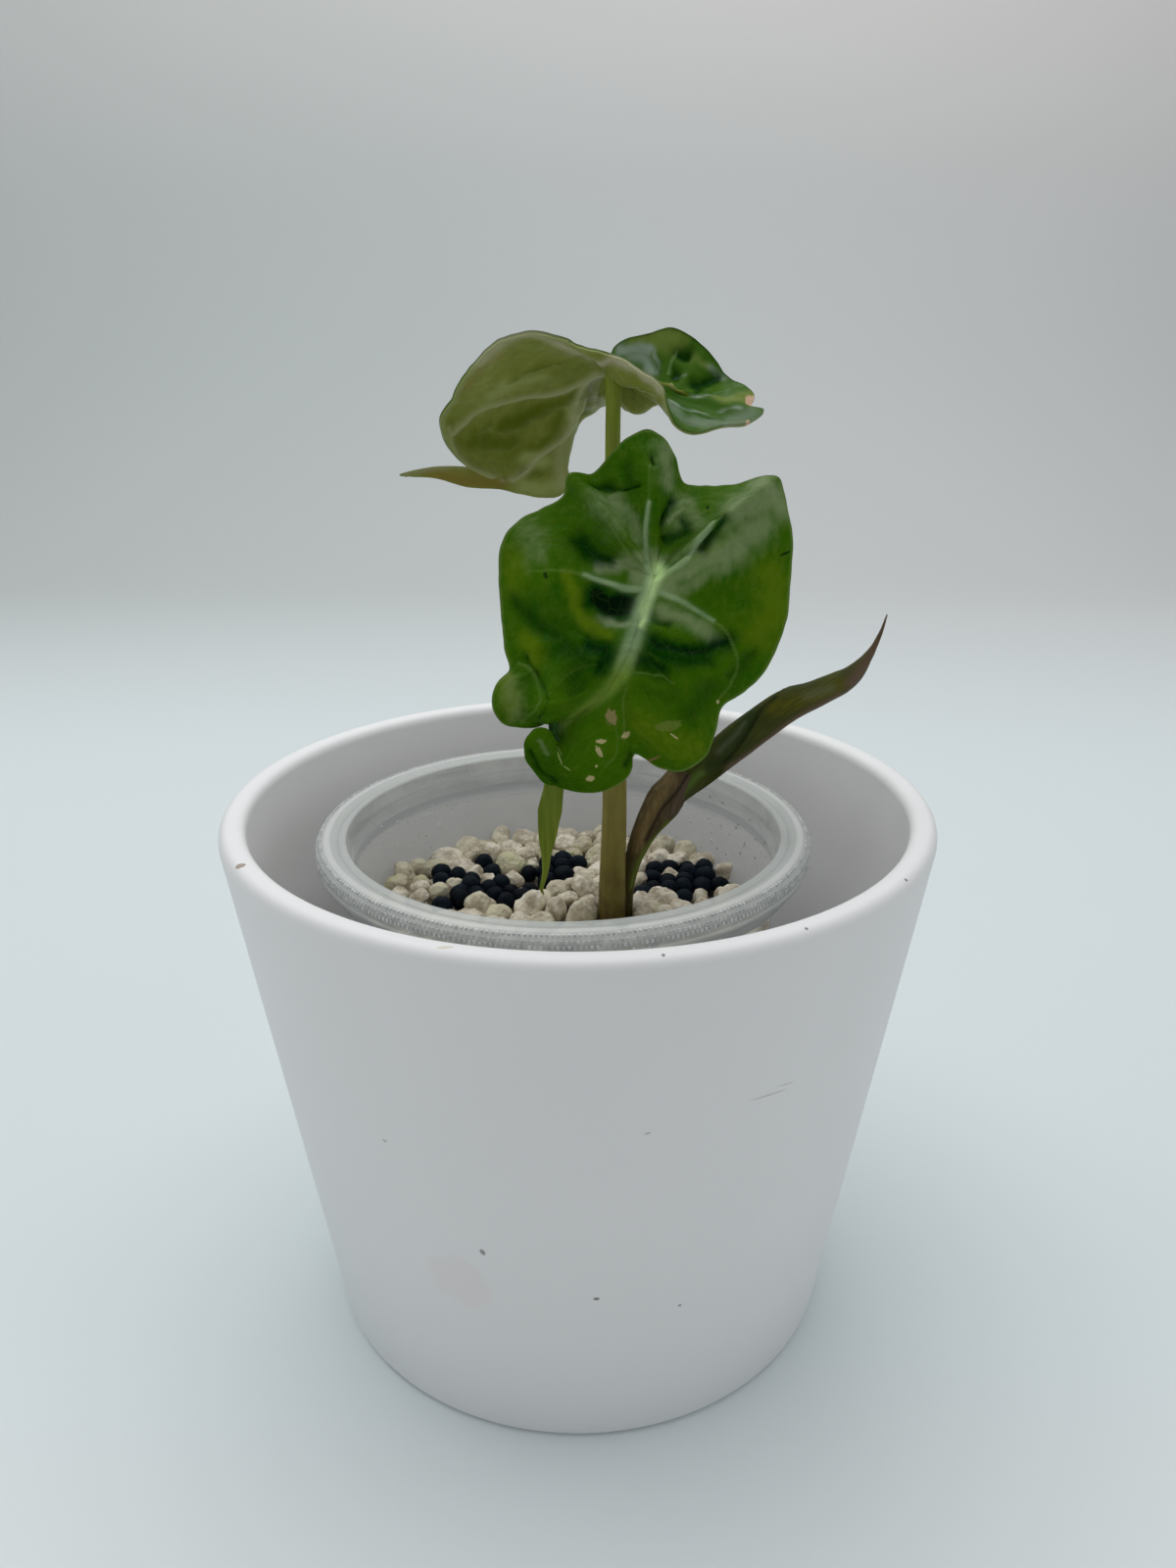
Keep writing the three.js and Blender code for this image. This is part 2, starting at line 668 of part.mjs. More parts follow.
addPiece("outer_pot", outerPot(), matteWhite);
addPiece("inner_cup", innerCup(), clearPlastic);
addPiece("pumice_bed", pumiceBed(), palePumice);
addPiece("bead_cluster_left", beadCluster(LEFT_PATCH, 21), darkBead);
addPiece("bead_cluster_right", beadCluster(RIGHT_PATCH, 22), darkBead);
addPiece("corm_with_roots", cormWithRoots(0), palestRoot);
addPiece("petiole_front", petioleFront(), stalkGreen);
addPiece("petiole_top", petioleTop(), youngStalk);
addPiece("blade_front", frontBlade(0), leafGreen);
addPiece("blade_top", topBlade(0), leafOlive);
addPiece("new_leaf_sheath", newLeafSheath(), sheathBrown);
addPiece("new_leaf", furledLeaf(0), newLeafOlive);

export default plant;
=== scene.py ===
# %% [markdown]
# # A potted venom alocasia
# A young alocasia stands in pumice gravel and dark clay beads, in a clear growing cup inside
# a plain matte white pot. Everything is in metres, +Z up, with the ground at Z = 0 and the
# side that the front leaf faces towards -Y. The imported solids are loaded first: they fix
# where each piece sits, and most of them are then replaced by finer pieces of the same form.

import math

import bpy
import numpy as np
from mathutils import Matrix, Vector, noise


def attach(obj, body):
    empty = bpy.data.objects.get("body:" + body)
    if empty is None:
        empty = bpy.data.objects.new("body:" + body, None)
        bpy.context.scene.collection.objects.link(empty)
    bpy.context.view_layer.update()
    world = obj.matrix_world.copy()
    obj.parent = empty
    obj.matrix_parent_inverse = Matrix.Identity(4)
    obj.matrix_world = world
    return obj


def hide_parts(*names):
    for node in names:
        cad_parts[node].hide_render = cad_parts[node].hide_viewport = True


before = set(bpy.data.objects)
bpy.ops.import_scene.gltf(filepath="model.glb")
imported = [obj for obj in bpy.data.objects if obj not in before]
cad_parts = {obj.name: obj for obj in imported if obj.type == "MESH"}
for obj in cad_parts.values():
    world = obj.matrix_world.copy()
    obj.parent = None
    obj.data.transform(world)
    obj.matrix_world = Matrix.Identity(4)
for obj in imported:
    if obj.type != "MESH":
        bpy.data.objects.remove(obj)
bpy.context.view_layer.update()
MM = 0.001
print("packed pieces:", sorted(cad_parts))

# %% [markdown]
# ## The photograph's camera
# The camera was solved from the pot's and the cup's rims. It stands close, 23 cm in front of
# the pot's axis and level with the top leaf, and looks about 20 degrees down. A lens given
# in millimetres on a 36 mm sensor says the same as a focal length in pixels: 1230 pixels
# on the photograph's 1600 pixel long side.

# %% Camera
CAMERA_PLACE = (0.0, -0.22694, 0.19801)
LOOK_DOWN = 0.35602
LOOK_RIGHT = 0.00844

camera_data = bpy.data.cameras.new("photo_camera")
camera_data.lens = 27.675
camera_data.clip_start = 0.01
camera = bpy.data.objects.new("photo_camera", camera_data)
camera.location = CAMERA_PLACE
camera.rotation_euler = (math.pi / 2 - LOOK_DOWN, 0.0, -LOOK_RIGHT)
bpy.context.scene.collection.objects.link(camera)
bpy.context.scene.camera = camera
bpy.context.scene.view_settings.view_transform = "Standard"
print("camera", tuple(camera.location), "lens", camera_data.lens)

# %% [markdown]
# ## Helpers for nodes
# Shader trees and Geometry Nodes trees are filled the same way: a node is added, some of its
# settings are set, and each input gets either a plain value or a link from another node.
# A few small helpers do this for both, which keeps each recipe readable.


# %% Node helpers
def feed(tree, value, socket):
    """Gives an input a plain value, or a link from a socket or from a node's first output."""
    if isinstance(value, bpy.types.Node):
        value = next(output for output in value.outputs if output.enabled)
    if isinstance(value, bpy.types.NodeSocket):
        tree.links.new(value, socket)
    elif socket.type == "RGBA":
        socket.default_value = (*value, 1.0)
    else:
        socket.default_value = value


def add_node(tree, kind, inputs=None, **settings):
    """Adds a node, makes its settings and feeds its inputs."""
    made = tree.nodes.new(kind)
    for setting, value in settings.items():
        setattr(made, setting, value)
    for key, value in (inputs or {}).items():
        feed(tree, value, made.inputs[key])
    return made


def calc(tree, operation, first, second=0.0, third=0.0):
    """One step of arithmetic on numbers."""
    return add_node(tree, "ShaderNodeMath", {0: first, 1: second, 2: third}, operation=operation)


def vector_calc(tree, operation, first, second=(0.0, 0.0, 0.0)):
    """One step of arithmetic on vectors."""
    return add_node(tree, "ShaderNodeVectorMath", {0: first, 1: second}, operation=operation)


def spread(tree, value, low, high, to_low=0.0, to_high=1.0):
    """Maps a value from one range to another, smoothly and held at the ends."""
    ends = {"From Min": low, "From Max": high, "To Min": to_low, "To Max": to_high}
    inputs = {"Value": value} | ends
    return add_node(tree, "ShaderNodeMapRange", inputs, interpolation_type="SMOOTHSTEP")


def tint(tree, share, first, second):
    """Mixes two colours, by a number or by a mask."""
    inputs = {"Factor": share, "A": first, "B": second}
    return add_node(tree, "ShaderNodeMix", inputs, data_type="RGBA")


SOCKET_KINDS = {int: "NodeSocketInt", float: "NodeSocketFloat", tuple: "NodeSocketVector"}


def add_inputs(tree, inputs):
    """Gives a tree named inputs. The kind of each follows from its usual value."""
    for label, value in inputs.items():
        kind = SOCKET_KINDS[type(value)]
        tree.interface.new_socket(label, in_out="INPUT", socket_type=kind).default_value = value


def new_group(name, output, **inputs):
    """An empty shader group that takes a vector and the named inputs, and has one output."""
    group = bpy.data.node_groups.new(name, "ShaderNodeTree")
    add_inputs(group, {"Vector": (0.0, 0.0, 0.0)} | inputs)
    group.interface.new_socket(output, in_out="OUTPUT", socket_type="NodeSocketFloat")
    given = add_node(group, "NodeGroupInput").outputs
    return group, given, add_node(group, "NodeGroupOutput").inputs[output]


# %% [markdown]
# ## Shared surface effects
# Three effects come back on most finishes. Mottling is a soft, uneven mask for colour that
# varies from place to place. Grain is a fine height for the bump. A mark is one small spot or
# scratch at a stated place, with a ragged outline. Each is a node group, so every finish can
# place it with its own sizes.

# %% Mottling group
mottle, given, mask = new_group("mottling", "Mask", Size=100.0, Contrast=0.2)
spot = {"Vector": given["Vector"], "Scale": given["Size"]}
cloud = add_node(mottle, "ShaderNodeTexNoise", spot | {"Detail": 4.0})
darkest = calc(mottle, "SUBTRACT", 0.5, given["Contrast"])
lightest = calc(mottle, "ADD", 0.5, given["Contrast"])
feed(mottle, spread(mottle, cloud, darkest, lightest), mask)

# %% Grain group
grain, given, height = new_group("grain", "Height", Size=800.0, Pits=0.0)
spot = {"Vector": given["Vector"], "Scale": given["Size"]}
fine = add_node(grain, "ShaderNodeTexNoise", spot | {"Detail": 3.0})
cells = add_node(grain, "ShaderNodeTexVoronoi", spot)
feed(grain, calc(grain, "MULTIPLY_ADD", cells, given["Pits"], fine), height)

# %% Mark group
mark, given, mask = new_group(
    "mark", "Mask", Centre=(0.0, 0.0, 0.0), Size=(MM, MM, MM), Lean=0.0, Ragged=0.5
)
offset = vector_calc(mark, "SUBTRACT", given["Vector"], given["Centre"])
lean = {"Vector": offset, "Angle": given["Lean"]}
leaned = add_node(mark, "ShaderNodeVectorRotate", lean, rotation_type="Y_AXIS")
sized = vector_calc(mark, "DIVIDE", leaned, given["Size"])
rough_edge = add_node(mark, "ShaderNodeTexNoise", {"Vector": sized, "Scale": 1.3, "Detail": 3.0})
wobble = calc(mark, "MULTIPLY", calc(mark, "SUBTRACT", rough_edge, 0.5), given["Ragged"])
ragged_length = calc(mark, "ADD", vector_calc(mark, "LENGTH", sized), wobble)
feed(mark, spread(mark, ragged_length, 1.1, 0.8), mask)


# %% Helpers for finishes
def new_finish(name, **values):
    """A material with its Principled shader, and Object coordinates to paint by."""
    finish = bpy.data.materials.new(name)
    finish.use_nodes = True
    tree = finish.node_tree
    shader = tree.nodes["Principled BSDF"]
    for socket, value in values.items():
        shader.inputs[socket.replace("_", " ")].default_value = value
    return finish, tree, shader, add_node(tree, "ShaderNodeTexCoord").outputs["Object"]


def effect(tree, group, place, **values):
    """Places one of the shared effects."""
    return add_node(tree, "ShaderNodeGroup", {"Vector": place} | values, node_tree=group)


def mottled(tree, place, size, contrast=0.2):
    """An uneven mask. Size is in patches per metre."""
    return effect(tree, mottle, place, Size=size, Contrast=contrast)


def streaked(tree, place, stretch, size, lean=0.0):
    """An uneven mask drawn out into streaks, leaning by an angle."""
    drawn_out = {"Vector": place, "Rotation": (0.0, lean, 0.0), "Scale": stretch}
    return mottled(tree, add_node(tree, "ShaderNodeMapping", drawn_out), size)


def layered(tree, colour, *layers):
    """Lays colours over a first one. Each layer is (mask, strength, colour)."""
    for mask, strength, over in layers:
        colour = tint(tree, calc(tree, "MULTIPLY", mask, strength), colour, over)
    return colour


def with_marks(tree, colour, place, marks):
    """Paints marks over a colour: (centre in mm, size in mm, lean, ragged, colour, strength)."""
    for centre, size, lean, ragged, mark_colour, strength in marks:
        centre, size = (tuple(value * MM for value in triple) for triple in (centre, size))
        mask = effect(tree, mark, place, Centre=centre, Size=size, Lean=lean, Ragged=ragged)
        colour = layered(tree, colour, (mask, strength, mark_colour))
    return colour


def bump(tree, shader, height, distance, strength=1.0):
    """Feeds a height to the shader's normal. Distance is in metres."""
    relief = {"Height": height, "Distance": distance, "Strength": strength}
    feed(tree, add_node(tree, "ShaderNodeBump", relief), shader.inputs["Normal"])


def two_tone(name, first, second, size, **values):
    """A plain finish whose colour wanders between two tones. Returns its mask as well."""
    finish, tree, shader, place = new_finish(name, **values)
    patches = mottled(tree, place, size)
    feed(tree, tint(tree, patches, first, second), shader.inputs["Base Color"])
    return finish, tree, shader, patches


def painted(tree, name):
    """A value painted on the mesh's points."""
    return add_node(tree, "ShaderNodeAttribute", attribute_name=name).outputs["Fac"]


def height_of(tree, place):
    """The height above the ground."""
    return add_node(tree, "ShaderNodeSeparateXYZ", {"Vector": place}).outputs["Z"]


def distance_out(tree, place, centre=(0.0, 0.0)):
    """The distance from an upright axis."""
    centred = vector_calc(tree, "SUBTRACT", place, (*centre, 0.0))
    return vector_calc(tree, "LENGTH", vector_calc(tree, "MULTIPLY", centred, (1, 1, 0)))


# %% [markdown]
# ## Helpers for shapes
# Three kinds of shape make up the whole object. Turned shapes, for the pot and the cup, are
# an outline spun about an axis. Swept shapes, for the stalks, the sheath and the new leaf, are
# a section carried along a curve. Blades are sheets stretched between a midrib and the leaf's
# edge. All three are grids of points, so numpy can make their points and faces in a few lines.


# %% Piece helpers
def make_piece(name, points, faces, masks=None):
    """A smooth mesh object from points in metres, with values painted on its points."""
    mesh = bpy.data.meshes.new(name)
    mesh.from_pydata(np.asarray(points).tolist(), [], [list(map(int, f)) for f in faces])
    mesh.update()
    mesh.shade_smooth()
    for label, values in (masks or {}).items():
        layer = mesh.attributes.new(label, "FLOAT", "POINT")
        layer.data.foreach_set("value", np.asarray(values, np.float32))
    piece = bpy.data.objects.new(name, mesh)
    bpy.context.scene.collection.objects.link(piece)
    return piece


def settle(piece, finish, slot, *nodes):
    """Gives a piece its finish, its body and the solids it stands for. The slot is not used."""
    piece.data.materials.clear()
    piece.data.materials.append(finish)
    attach(piece, "root")
    if nodes:
        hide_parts(*nodes)
    triangles = sum(len(f.vertices) - 2 for f in piece.data.polygons)
    print(piece.name, "triangles", triangles)


def ring_points(rings, angle, centre):
    """Points at each angle on rings of (radius, height) about an upright axis."""
    x = centre[0] + np.outer(rings[:, 0], np.cos(angle))
    y = centre[1] + np.outer(rings[:, 0], np.sin(angle))
    z = np.repeat(rings[:, 1:2], len(angle), axis=1)
    return np.stack([x, y, z], axis=-1).reshape(-1, 3)


def tube_faces(rings, sides):
    """The faces of a closed tube of rings, whose two end points are listed last."""
    after = [(side + 1) % sides for side in range(sides)]
    faces = []
    for start in range(0, (rings - 1) * sides, sides):
        for a, b in enumerate(after):
            faces.append((start + a, start + b, start + b + sides, start + a + sides))
    end, last = rings * sides, (rings - 1) * sides
    for a, b in enumerate(after):
        faces += [(end, b, a), (end + 1, last + a, last + b)]
    return faces


def turned(name, outline, sides, centre=(0.0, 0.0)):
    """Spins an outline of (radius, height) in mm, listed from the axis round the outside."""
    rings = np.array(outline[1:-1], float) * MM
    points = ring_points(rings, np.linspace(0, 2 * math.pi, sides, endpoint=False), centre)
    ends = [[*centre, outline[end][1] * MM] for end in (0, -1)]
    return make_piece(name, np.vstack([points, ends]), tube_faces(len(rings), sides))


def curve_through(points, steps):
    """Evenly stepped points on a smooth open curve through the given ones."""
    p = np.array(points, float)
    p = np.vstack([2 * p[0] - p[1], p, 2 * p[-1] - p[-2]])
    place = np.linspace(0, len(points) - 1, steps)
    i = np.minimum(place.astype(int), len(points) - 2)
    t = (place - i)[:, None]
    a, b, c, d = p[i], p[i + 1], p[i + 2], p[i + 3]
    return 0.5 * (
        2 * b + (c - a) * t + (2 * a - 5 * b + 4 * c - d) * t**2 + (3 * b - a - 3 * c + d) * t**3
    )


def frames_along(points, reference):
    """Two directions across a curve at each of its points."""
    tangent = np.gradient(points, axis=0)
    tangent /= np.linalg.norm(tangent, axis=1)[:, None]
    side = np.cross(np.array(reference, float), tangent)
    side /= np.linalg.norm(side, axis=1)[:, None]
    return side, np.cross(tangent, side)


def swept(name, curve, sizes, reference, section=None, sides=40, steps=120):
    """A closed bar along a curve in mm. Sizes are rows of (share of length, wide, deep)."""
    line = curve_through(curve, steps)
    side, front = frames_along(line, reference)
    along = np.linspace(0, 1, steps)
    shares, widths, depths = np.array(sizes, float).T
    angle = np.linspace(0, 2 * math.pi, sides, endpoint=False)
    grow = section(along[:, None], angle[None, :]) if section else np.ones((steps, sides))
    wide = np.interp(along, shares, widths)[:, None] * np.cos(angle) * grow
    deep = np.interp(along, shares, depths)[:, None] * np.sin(angle) * grow
    ring = line[:, None] + side[:, None] * wide[..., None] + front[:, None] * deep[..., None]
    points = np.vstack([ring.reshape(-1, 3), line[0], line[-1]]) * MM
    masks = {
        "along": np.append(np.repeat(along, sides), [0, 1]),
        "around": np.append(np.tile(angle / (2 * math.pi), steps), [0, 0]),
    }
    return make_piece(name, points, tube_faces(steps, sides), masks)


# %% [markdown]
# ## Strokes of colour
# Veins, hollows, sheens and stains follow lines on a surface, so each is a stroke: a short
# line of points as seen from the front, with a width and a strength. A stroke is laid on the
# part of the surface that faces the front, and every point of the mesh near it gets a value,
# which fades away from the stroke. The finishes read these values as masks. On the two big
# leaves the dark strokes are painted shade in the hollows, and on all leaves the sheens are
# painted reflections.

# %% Stroke helpers
# A stroke lies on the points within NEAR mm of it that are at most ONE_LAYER mm behind the
# foremost one. Its line is evened out over EVENED steps, and a fixed seed lets the colour
# wander off it in the same way on every run.
NEAR, ONE_LAYER, EVENED = 0.7, 1.2, 7
WANDER_SEED = 6
noise.seed_set(WANDER_SEED)


def lay_on(spots, points):
    """Lays a stroke, drawn as (x, z) in mm seen from the front, on the surface in view."""
    drawn = curve_through(points, 12 * len(points))
    depth = []
    for x, z in drawn:
        gap = np.hypot(spots[:, 0] - x, spots[:, 2] - z)
        near = np.where(gap < max(NEAR, gap.min() + 0.1))[0]
        front = spots[near, 1].min()
        facing = near[spots[near, 1] < front + ONE_LAYER]
        depth.append(np.average(spots[facing, 1], weights=1 / (gap[facing] + 0.1)))
    padded = np.pad(depth, EVENED // 2, mode="edge")
    depth = np.convolve(padded, np.ones(EVENED) / EVENED, mode="valid")
    return np.column_stack([drawn[:, 0], depth, drawn[:, 1]])


def stroke_mask(spots, strokes, wander=0.0):
    """A soft mask from strokes: (width at its start, at its end, strength, points)."""
    mask = np.zeros(len(spots))
    strayed = spots
    if wander:
        strayed = spots + wander * np.array([noise.noise_vector(Vector(p) * 0.4) for p in spots])
    for start, end, strength, points in strokes:
        path = lay_on(spots, points)
        width = np.linspace(start, end, len(path))
        reach = 2.6 * max(start, end)
        inside = (strayed < path.max(axis=0) + reach) & (strayed > path.min(axis=0) - reach)
        inside = np.where(inside.all(axis=1))[0]
        gap = np.linalg.norm(strayed[inside, None] - path[None], axis=2)
        soft = strength * np.exp(-((gap / width) ** 2)).max(axis=1)
        mask[inside] = np.maximum(mask[inside], soft)
    return mask


def paint(piece, strokes):
    """Paints one mask for each list of strokes on a finished piece."""
    spots = np.array([v.co for v in piece.data.vertices]) / MM
    for label, lines in strokes.items():
        layer = piece.data.attributes.new(label, "FLOAT", "POINT")
        layer.data.foreach_set("value", stroke_mask(spots, lines).astype(np.float32))


# %% [markdown]
# ## The outer pot
# The real pot is thick, smooth and matte, with a fully rounded rim 5 mm across. It is turned
# from one outline with 192 sides, close enough that no flats show against the backdrop. The
# finish is nearly plain: a very fine grain, a few specks and hairline scratches from use,
# a faint warm smudge and the brown fleck on the rim's left. The rim and the inside are a
# little lighter, for the light that a pale pot throws back and forth.

# %% Pot shape
POT_RIM, POT_HEIGHT, POT_FOOT, POT_WALL, POT_FLOOR = 70.0, 111.5, 54.0, 5.2, 5.0
LIP = POT_WALL / 2
SQUARENESS = 0.78


def squared(value):
    """Pushes a sine or cosine outwards, so that a half circle turns into a squarer one."""
    return math.copysign(abs(value) ** SQUARENESS, value)


pot_outline = [
    (0, 0), (POT_FOOT - 1.5, 0), (POT_FOOT - 0.9, 0.15), (POT_FOOT - 0.4, 0.6), (POT_FOOT + 0.1, 1.5)
]
for turn in np.linspace(0, math.pi, 25):
    out = POT_RIM - LIP + LIP * squared(math.cos(turn))
    pot_outline.append((out, POT_HEIGHT - LIP + LIP * squared(math.sin(turn))))
pot_outline += [
    (POT_FOOT - POT_WALL + 0.8, POT_FLOOR + 4), (POT_FOOT - POT_WALL - 0.4, POT_FLOOR + 1.2),
    (POT_FOOT - POT_WALL - 3, POT_FLOOR), (0, POT_FLOOR),
]
pot = turned("white_pot", pot_outline, 192)

# %% Pot finish
SPECK = (0.12, 0.10, 0.09)
SCRATCH = (0.30, 0.30, 0.31)
pot_marks = [
    ((-16.9, -58.6, 48.6), (0.5, 2, 0.75), 0.3, 0.9, SPECK, 0.7),
    ((2.9, -59.5, 39.0), (0.6, 2, 0.35), 0.0, 0.9, SPECK, 0.9),
    ((18.0, -56.1, 34.1), (0.35, 2, 0.3), 0.0, 0.9, SPECK, 0.7),
    ((-33.3, -54.7, 69.0), (0.45, 2, 0.3), 0.2, 0.9, SPECK, 0.4),
    ((11.0, -64.4, 77.4), (0.6, 2, 0.22), 0.2, 0.9, SPECK, 0.4),
    ((31.5, -57.6, 79.9), (3.6, 4, 0.14), -0.05, 1.0, SCRATCH, 0.55),
    ((34.5, -55.7, 80.9), (1.6, 4, 0.11), -0.10, 1.0, SCRATCH, 0.45),
    ((-21.4, -55.6, 38.9), (7.0, 6, 6.5), 0.0, 0.9, (0.80, 0.66, 0.60), 0.2),
    ((-58.9, -34.4, 111.3), (0.9, 0.9, 1.2), 0.5, 1.0, (0.30, 0.20, 0.12), 0.8),
    ((55.7, -40.7, 110.9), (0.35, 0.35, 0.6), 0.0, 0.8, SPECK, 0.9),
    ((12.6, -67.3, 111.3), (0.3, 0.35, 0.6), 0.0, 0.8, SPECK, 0.8),
    ((35.5, -58.8, 111.0), (0.35, 0.35, 0.6), 0.0, 0.8, SPECK, 0.8),
    ((-20.1, -64.8, 111.4), (1.4, 0.4, 0.6), 0.0, 1.0, (0.62, 0.52, 0.30), 0.5),
]
matte_white, tree, shader, place = new_finish("matte_white", Roughness=0.48)
tone = mottled(tree, place, 14.0, 0.3)
white = tint(tree, tone, (0.812, 0.824, 0.822), (0.836, 0.846, 0.844))
TAPER = (POT_RIM - POT_FOOT) / POT_HEIGHT
foot_radius = calc(tree, "MULTIPLY_ADD", height_of(tree, place), -TAPER, distance_out(tree, place))
inside = spread(tree, foot_radius, (POT_FOOT - 0.3) * MM, (POT_FOOT - 2) * MM)
white = tint(tree, inside, white, (0.935, 0.942, 0.950))
feed(tree, with_marks(tree, white, place, pot_marks), shader.inputs["Base Color"])
bump(tree, shader, effect(tree, grain, place, Size=1400.0, Pits=0.2), 0.00002, 0.35)
settle(pot, matte_white, "outer_pot", "outer_pot")

# %% [markdown]
# ## The growing cup
# The cup is a thin clear tub. Its flat rim is wide and milky, with a painted highlight along its
# inner edge and a step below it. Under the rim's outer edge runs a band of fine upright ribs,
# which help fingers to grip it, and below that a second lip. The tub is one turned outline; the
# ribs are hundreds of copies of one bar, so Geometry Nodes places them on a circle.

# %% Cup shape
CUP_CENTRE = (-3.0 * MM, 0.7 * MM)
CUP_TOP, CUP_RIM, CUP_NECK, CUP_FOOT, CUP_LOW = 105.0, 49.6, 44.4, 32.5, 5.3
cup_outline = [
    (0, CUP_LOW), (CUP_FOOT - 1.5, CUP_LOW), (CUP_FOOT - 0.5, CUP_LOW + 0.4),
    (CUP_FOOT, CUP_LOW + 1.5), (CUP_NECK - 0.6, CUP_TOP - 9.2), (CUP_NECK - 0.3, CUP_TOP - 8.9),
    (CUP_NECK + 2.2, CUP_TOP - 8.5), (CUP_NECK + 2.7, CUP_TOP - 8.1),
    (CUP_NECK + 3.0, CUP_TOP - 6.6), (CUP_NECK + 3.2, CUP_TOP - 5.6),
    (CUP_RIM - 0.9, CUP_TOP - 5.3), (CUP_RIM - 0.3, CUP_TOP - 4.9), (CUP_RIM, CUP_TOP - 4.2),
    (CUP_RIM, CUP_TOP - 2.0), (CUP_RIM - 0.2, CUP_TOP - 1.1), (CUP_RIM - 0.9, CUP_TOP - 0.4),
    (CUP_RIM - 1.6, CUP_TOP - 0.08), (CUP_RIM - 2.2, CUP_TOP), (CUP_NECK + 1.6, CUP_TOP - 0.15),
    (CUP_NECK + 1.1, CUP_TOP - 0.6), (CUP_NECK + 0.6, CUP_TOP - 0.55),
    (CUP_NECK + 0.1, CUP_TOP - 0.1), (CUP_NECK - 0.5, CUP_TOP - 0.2),
    (CUP_NECK - 0.9, CUP_TOP - 0.9), (CUP_NECK - 1.1, CUP_TOP - 3.2),
    (CUP_NECK - 1.7, CUP_TOP - 4.2), (CUP_NECK - 2.3, CUP_TOP - 10), (CUP_FOOT - 1, CUP_LOW + 3),
    (CUP_FOOT - 3, CUP_LOW + 1), (0, CUP_LOW + 1),
]
cup = turned("growing_cup", cup_outline, 160, CUP_CENTRE)


# %% Cup finish
def band(tree, value, centre, half):
    """A soft band, where a value lies close to a centre. Both are in mm."""
    away = calc(tree, "ABSOLUTE", calc(tree, "SUBTRACT", value, centre * MM))
    return spread(tree, away, half * MM, 0.5 * half * MM)


clear_plastic, tree, shader, place = new_finish("clear_plastic", Roughness=0.25, IOR=1.45)
height = height_of(tree, place)
out = distance_out(tree, place, CUP_CENTRE)
over_tub = spread(tree, height, (CUP_TOP - 10.5) * MM, (CUP_TOP - 9.5) * MM)
past_wall = spread(tree, out, (CUP_NECK - 1.0) * MM, (CUP_NECK - 0.4) * MM)
flange = calc(tree, "MULTIPLY", over_tub, past_wall)
smear = mottled(tree, place, 60.0, 0.25)
near_rim = spread(tree, height, (CUP_TOP - 11) * MM, (CUP_TOP - 2) * MM)
haze = calc(tree, "MULTIPLY", near_rim, smear)
# Painted highlight: the wall is made more opaque where it is seen edge-on, which draws the light
# lines that a clear wall shows at its sides.
edge_glint = add_node(tree, "ShaderNodeLayerWeight", {"Blend": 0.35}).outputs["Facing"]
mist_and_edge_glint = calc(tree, "MULTIPLY_ADD", smear, 0.06, 0.16)
mist_and_edge_glint = calc(tree, "MULTIPLY_ADD", haze, 0.22, mist_and_edge_glint)
mist_and_edge_glint = calc(tree, "MULTIPLY_ADD", calc(tree, "POWER", edge_glint, 2.5), 0.2, mist_and_edge_glint)
feed(tree, spread(tree, flange, 0.0, 1.0, mist_and_edge_glint, 0.68), shader.inputs["Alpha"])
plastic = tint(tree, flange, (0.93, 0.94, 0.93), (0.68, 0.72, 0.70))
# Painted highlights and shade on the flat rim: light lines where its edges catch the light, and dark
# lines in its groove and on its rounded outer edge.
for radius, half, strength, ring_colour in (
    (CUP_NECK - 0.7, 0.3, 0.8, (0.86, 0.89, 0.87)), (CUP_NECK + 0.9, 0.3, 0.5, (0.48, 0.52, 0.51)),
    (CUP_NECK + 1.7, 0.2, 0.5, (0.74, 0.77, 0.76)), (CUP_RIM - 2.1, 0.8, 0.8, (0.93, 0.95, 0.94)),
    (CUP_RIM - 0.4, 0.6, 0.85, (0.58, 0.61, 0.60)),
):
    ring = calc(tree, "MULTIPLY", band(tree, out, radius, half), flange)
    plastic = layered(tree, plastic, (ring, strength, ring_colour))
# Painted shade and a painted highlight on the rim's outside: darker below its top, a light band
# across its outer face and a dark band on the lower lip.
plastic = layered(
    tree,
    plastic,
    (spread(tree, height, (CUP_TOP - 1.4) * MM, (CUP_TOP - 2) * MM), flange, (0.52, 0.55, 0.55)),
    (band(tree, height, CUP_TOP - 3.6, 0.4), 1.0, (0.76, 0.79, 0.78)),
    (band(tree, height, CUP_TOP - 7.2, 1.2), 1.0, (0.42, 0.45, 0.45)),
)
feed(tree, plastic, shader.inputs["Base Color"])
bump(tree, shader, effect(tree, grain, place, Size=260.0), 0.00005, 0.25)
settle(cup, clear_plastic, "inner_cup", "inner_cup")


# %% Geometry Nodes helpers
def new_tree(name, inputs):
    """A Geometry Nodes tree that takes a geometry, named inputs and a finish."""
    tree = bpy.data.node_groups.new(name, "GeometryNodeTree")
    tree.interface.new_socket("Geometry", in_out="INPUT", socket_type="NodeSocketGeometry")
    add_inputs(tree, inputs)
    tree.interface.new_socket("Finish", in_out="INPUT", socket_type="NodeSocketMaterial")
    tree.interface.new_socket("Geometry", in_out="OUTPUT", socket_type="NodeSocketGeometry")
    return tree, add_node(tree, "NodeGroupInput").outputs


def copies_on(tree, points, shape, **placed):
    """Real copies of a shape on points, with their Rotation and Scale."""
    inputs = {"Points": points, "Instance": shape} | placed
    copies = add_node(tree, "GeometryNodeInstanceOnPoints", inputs)
    return add_node(tree, "GeometryNodeRealizeInstances", {0: copies})


def hand_out(tree, shape, given):
    """Ends a tree: the shape gets its finish and goes out."""
    coated = {"Geometry": shape, "Material": given["Finish"]}
    coated = add_node(tree, "GeometryNodeSetMaterial", coated)
    add_node(tree, "NodeGroupOutput", {"Geometry": coated})


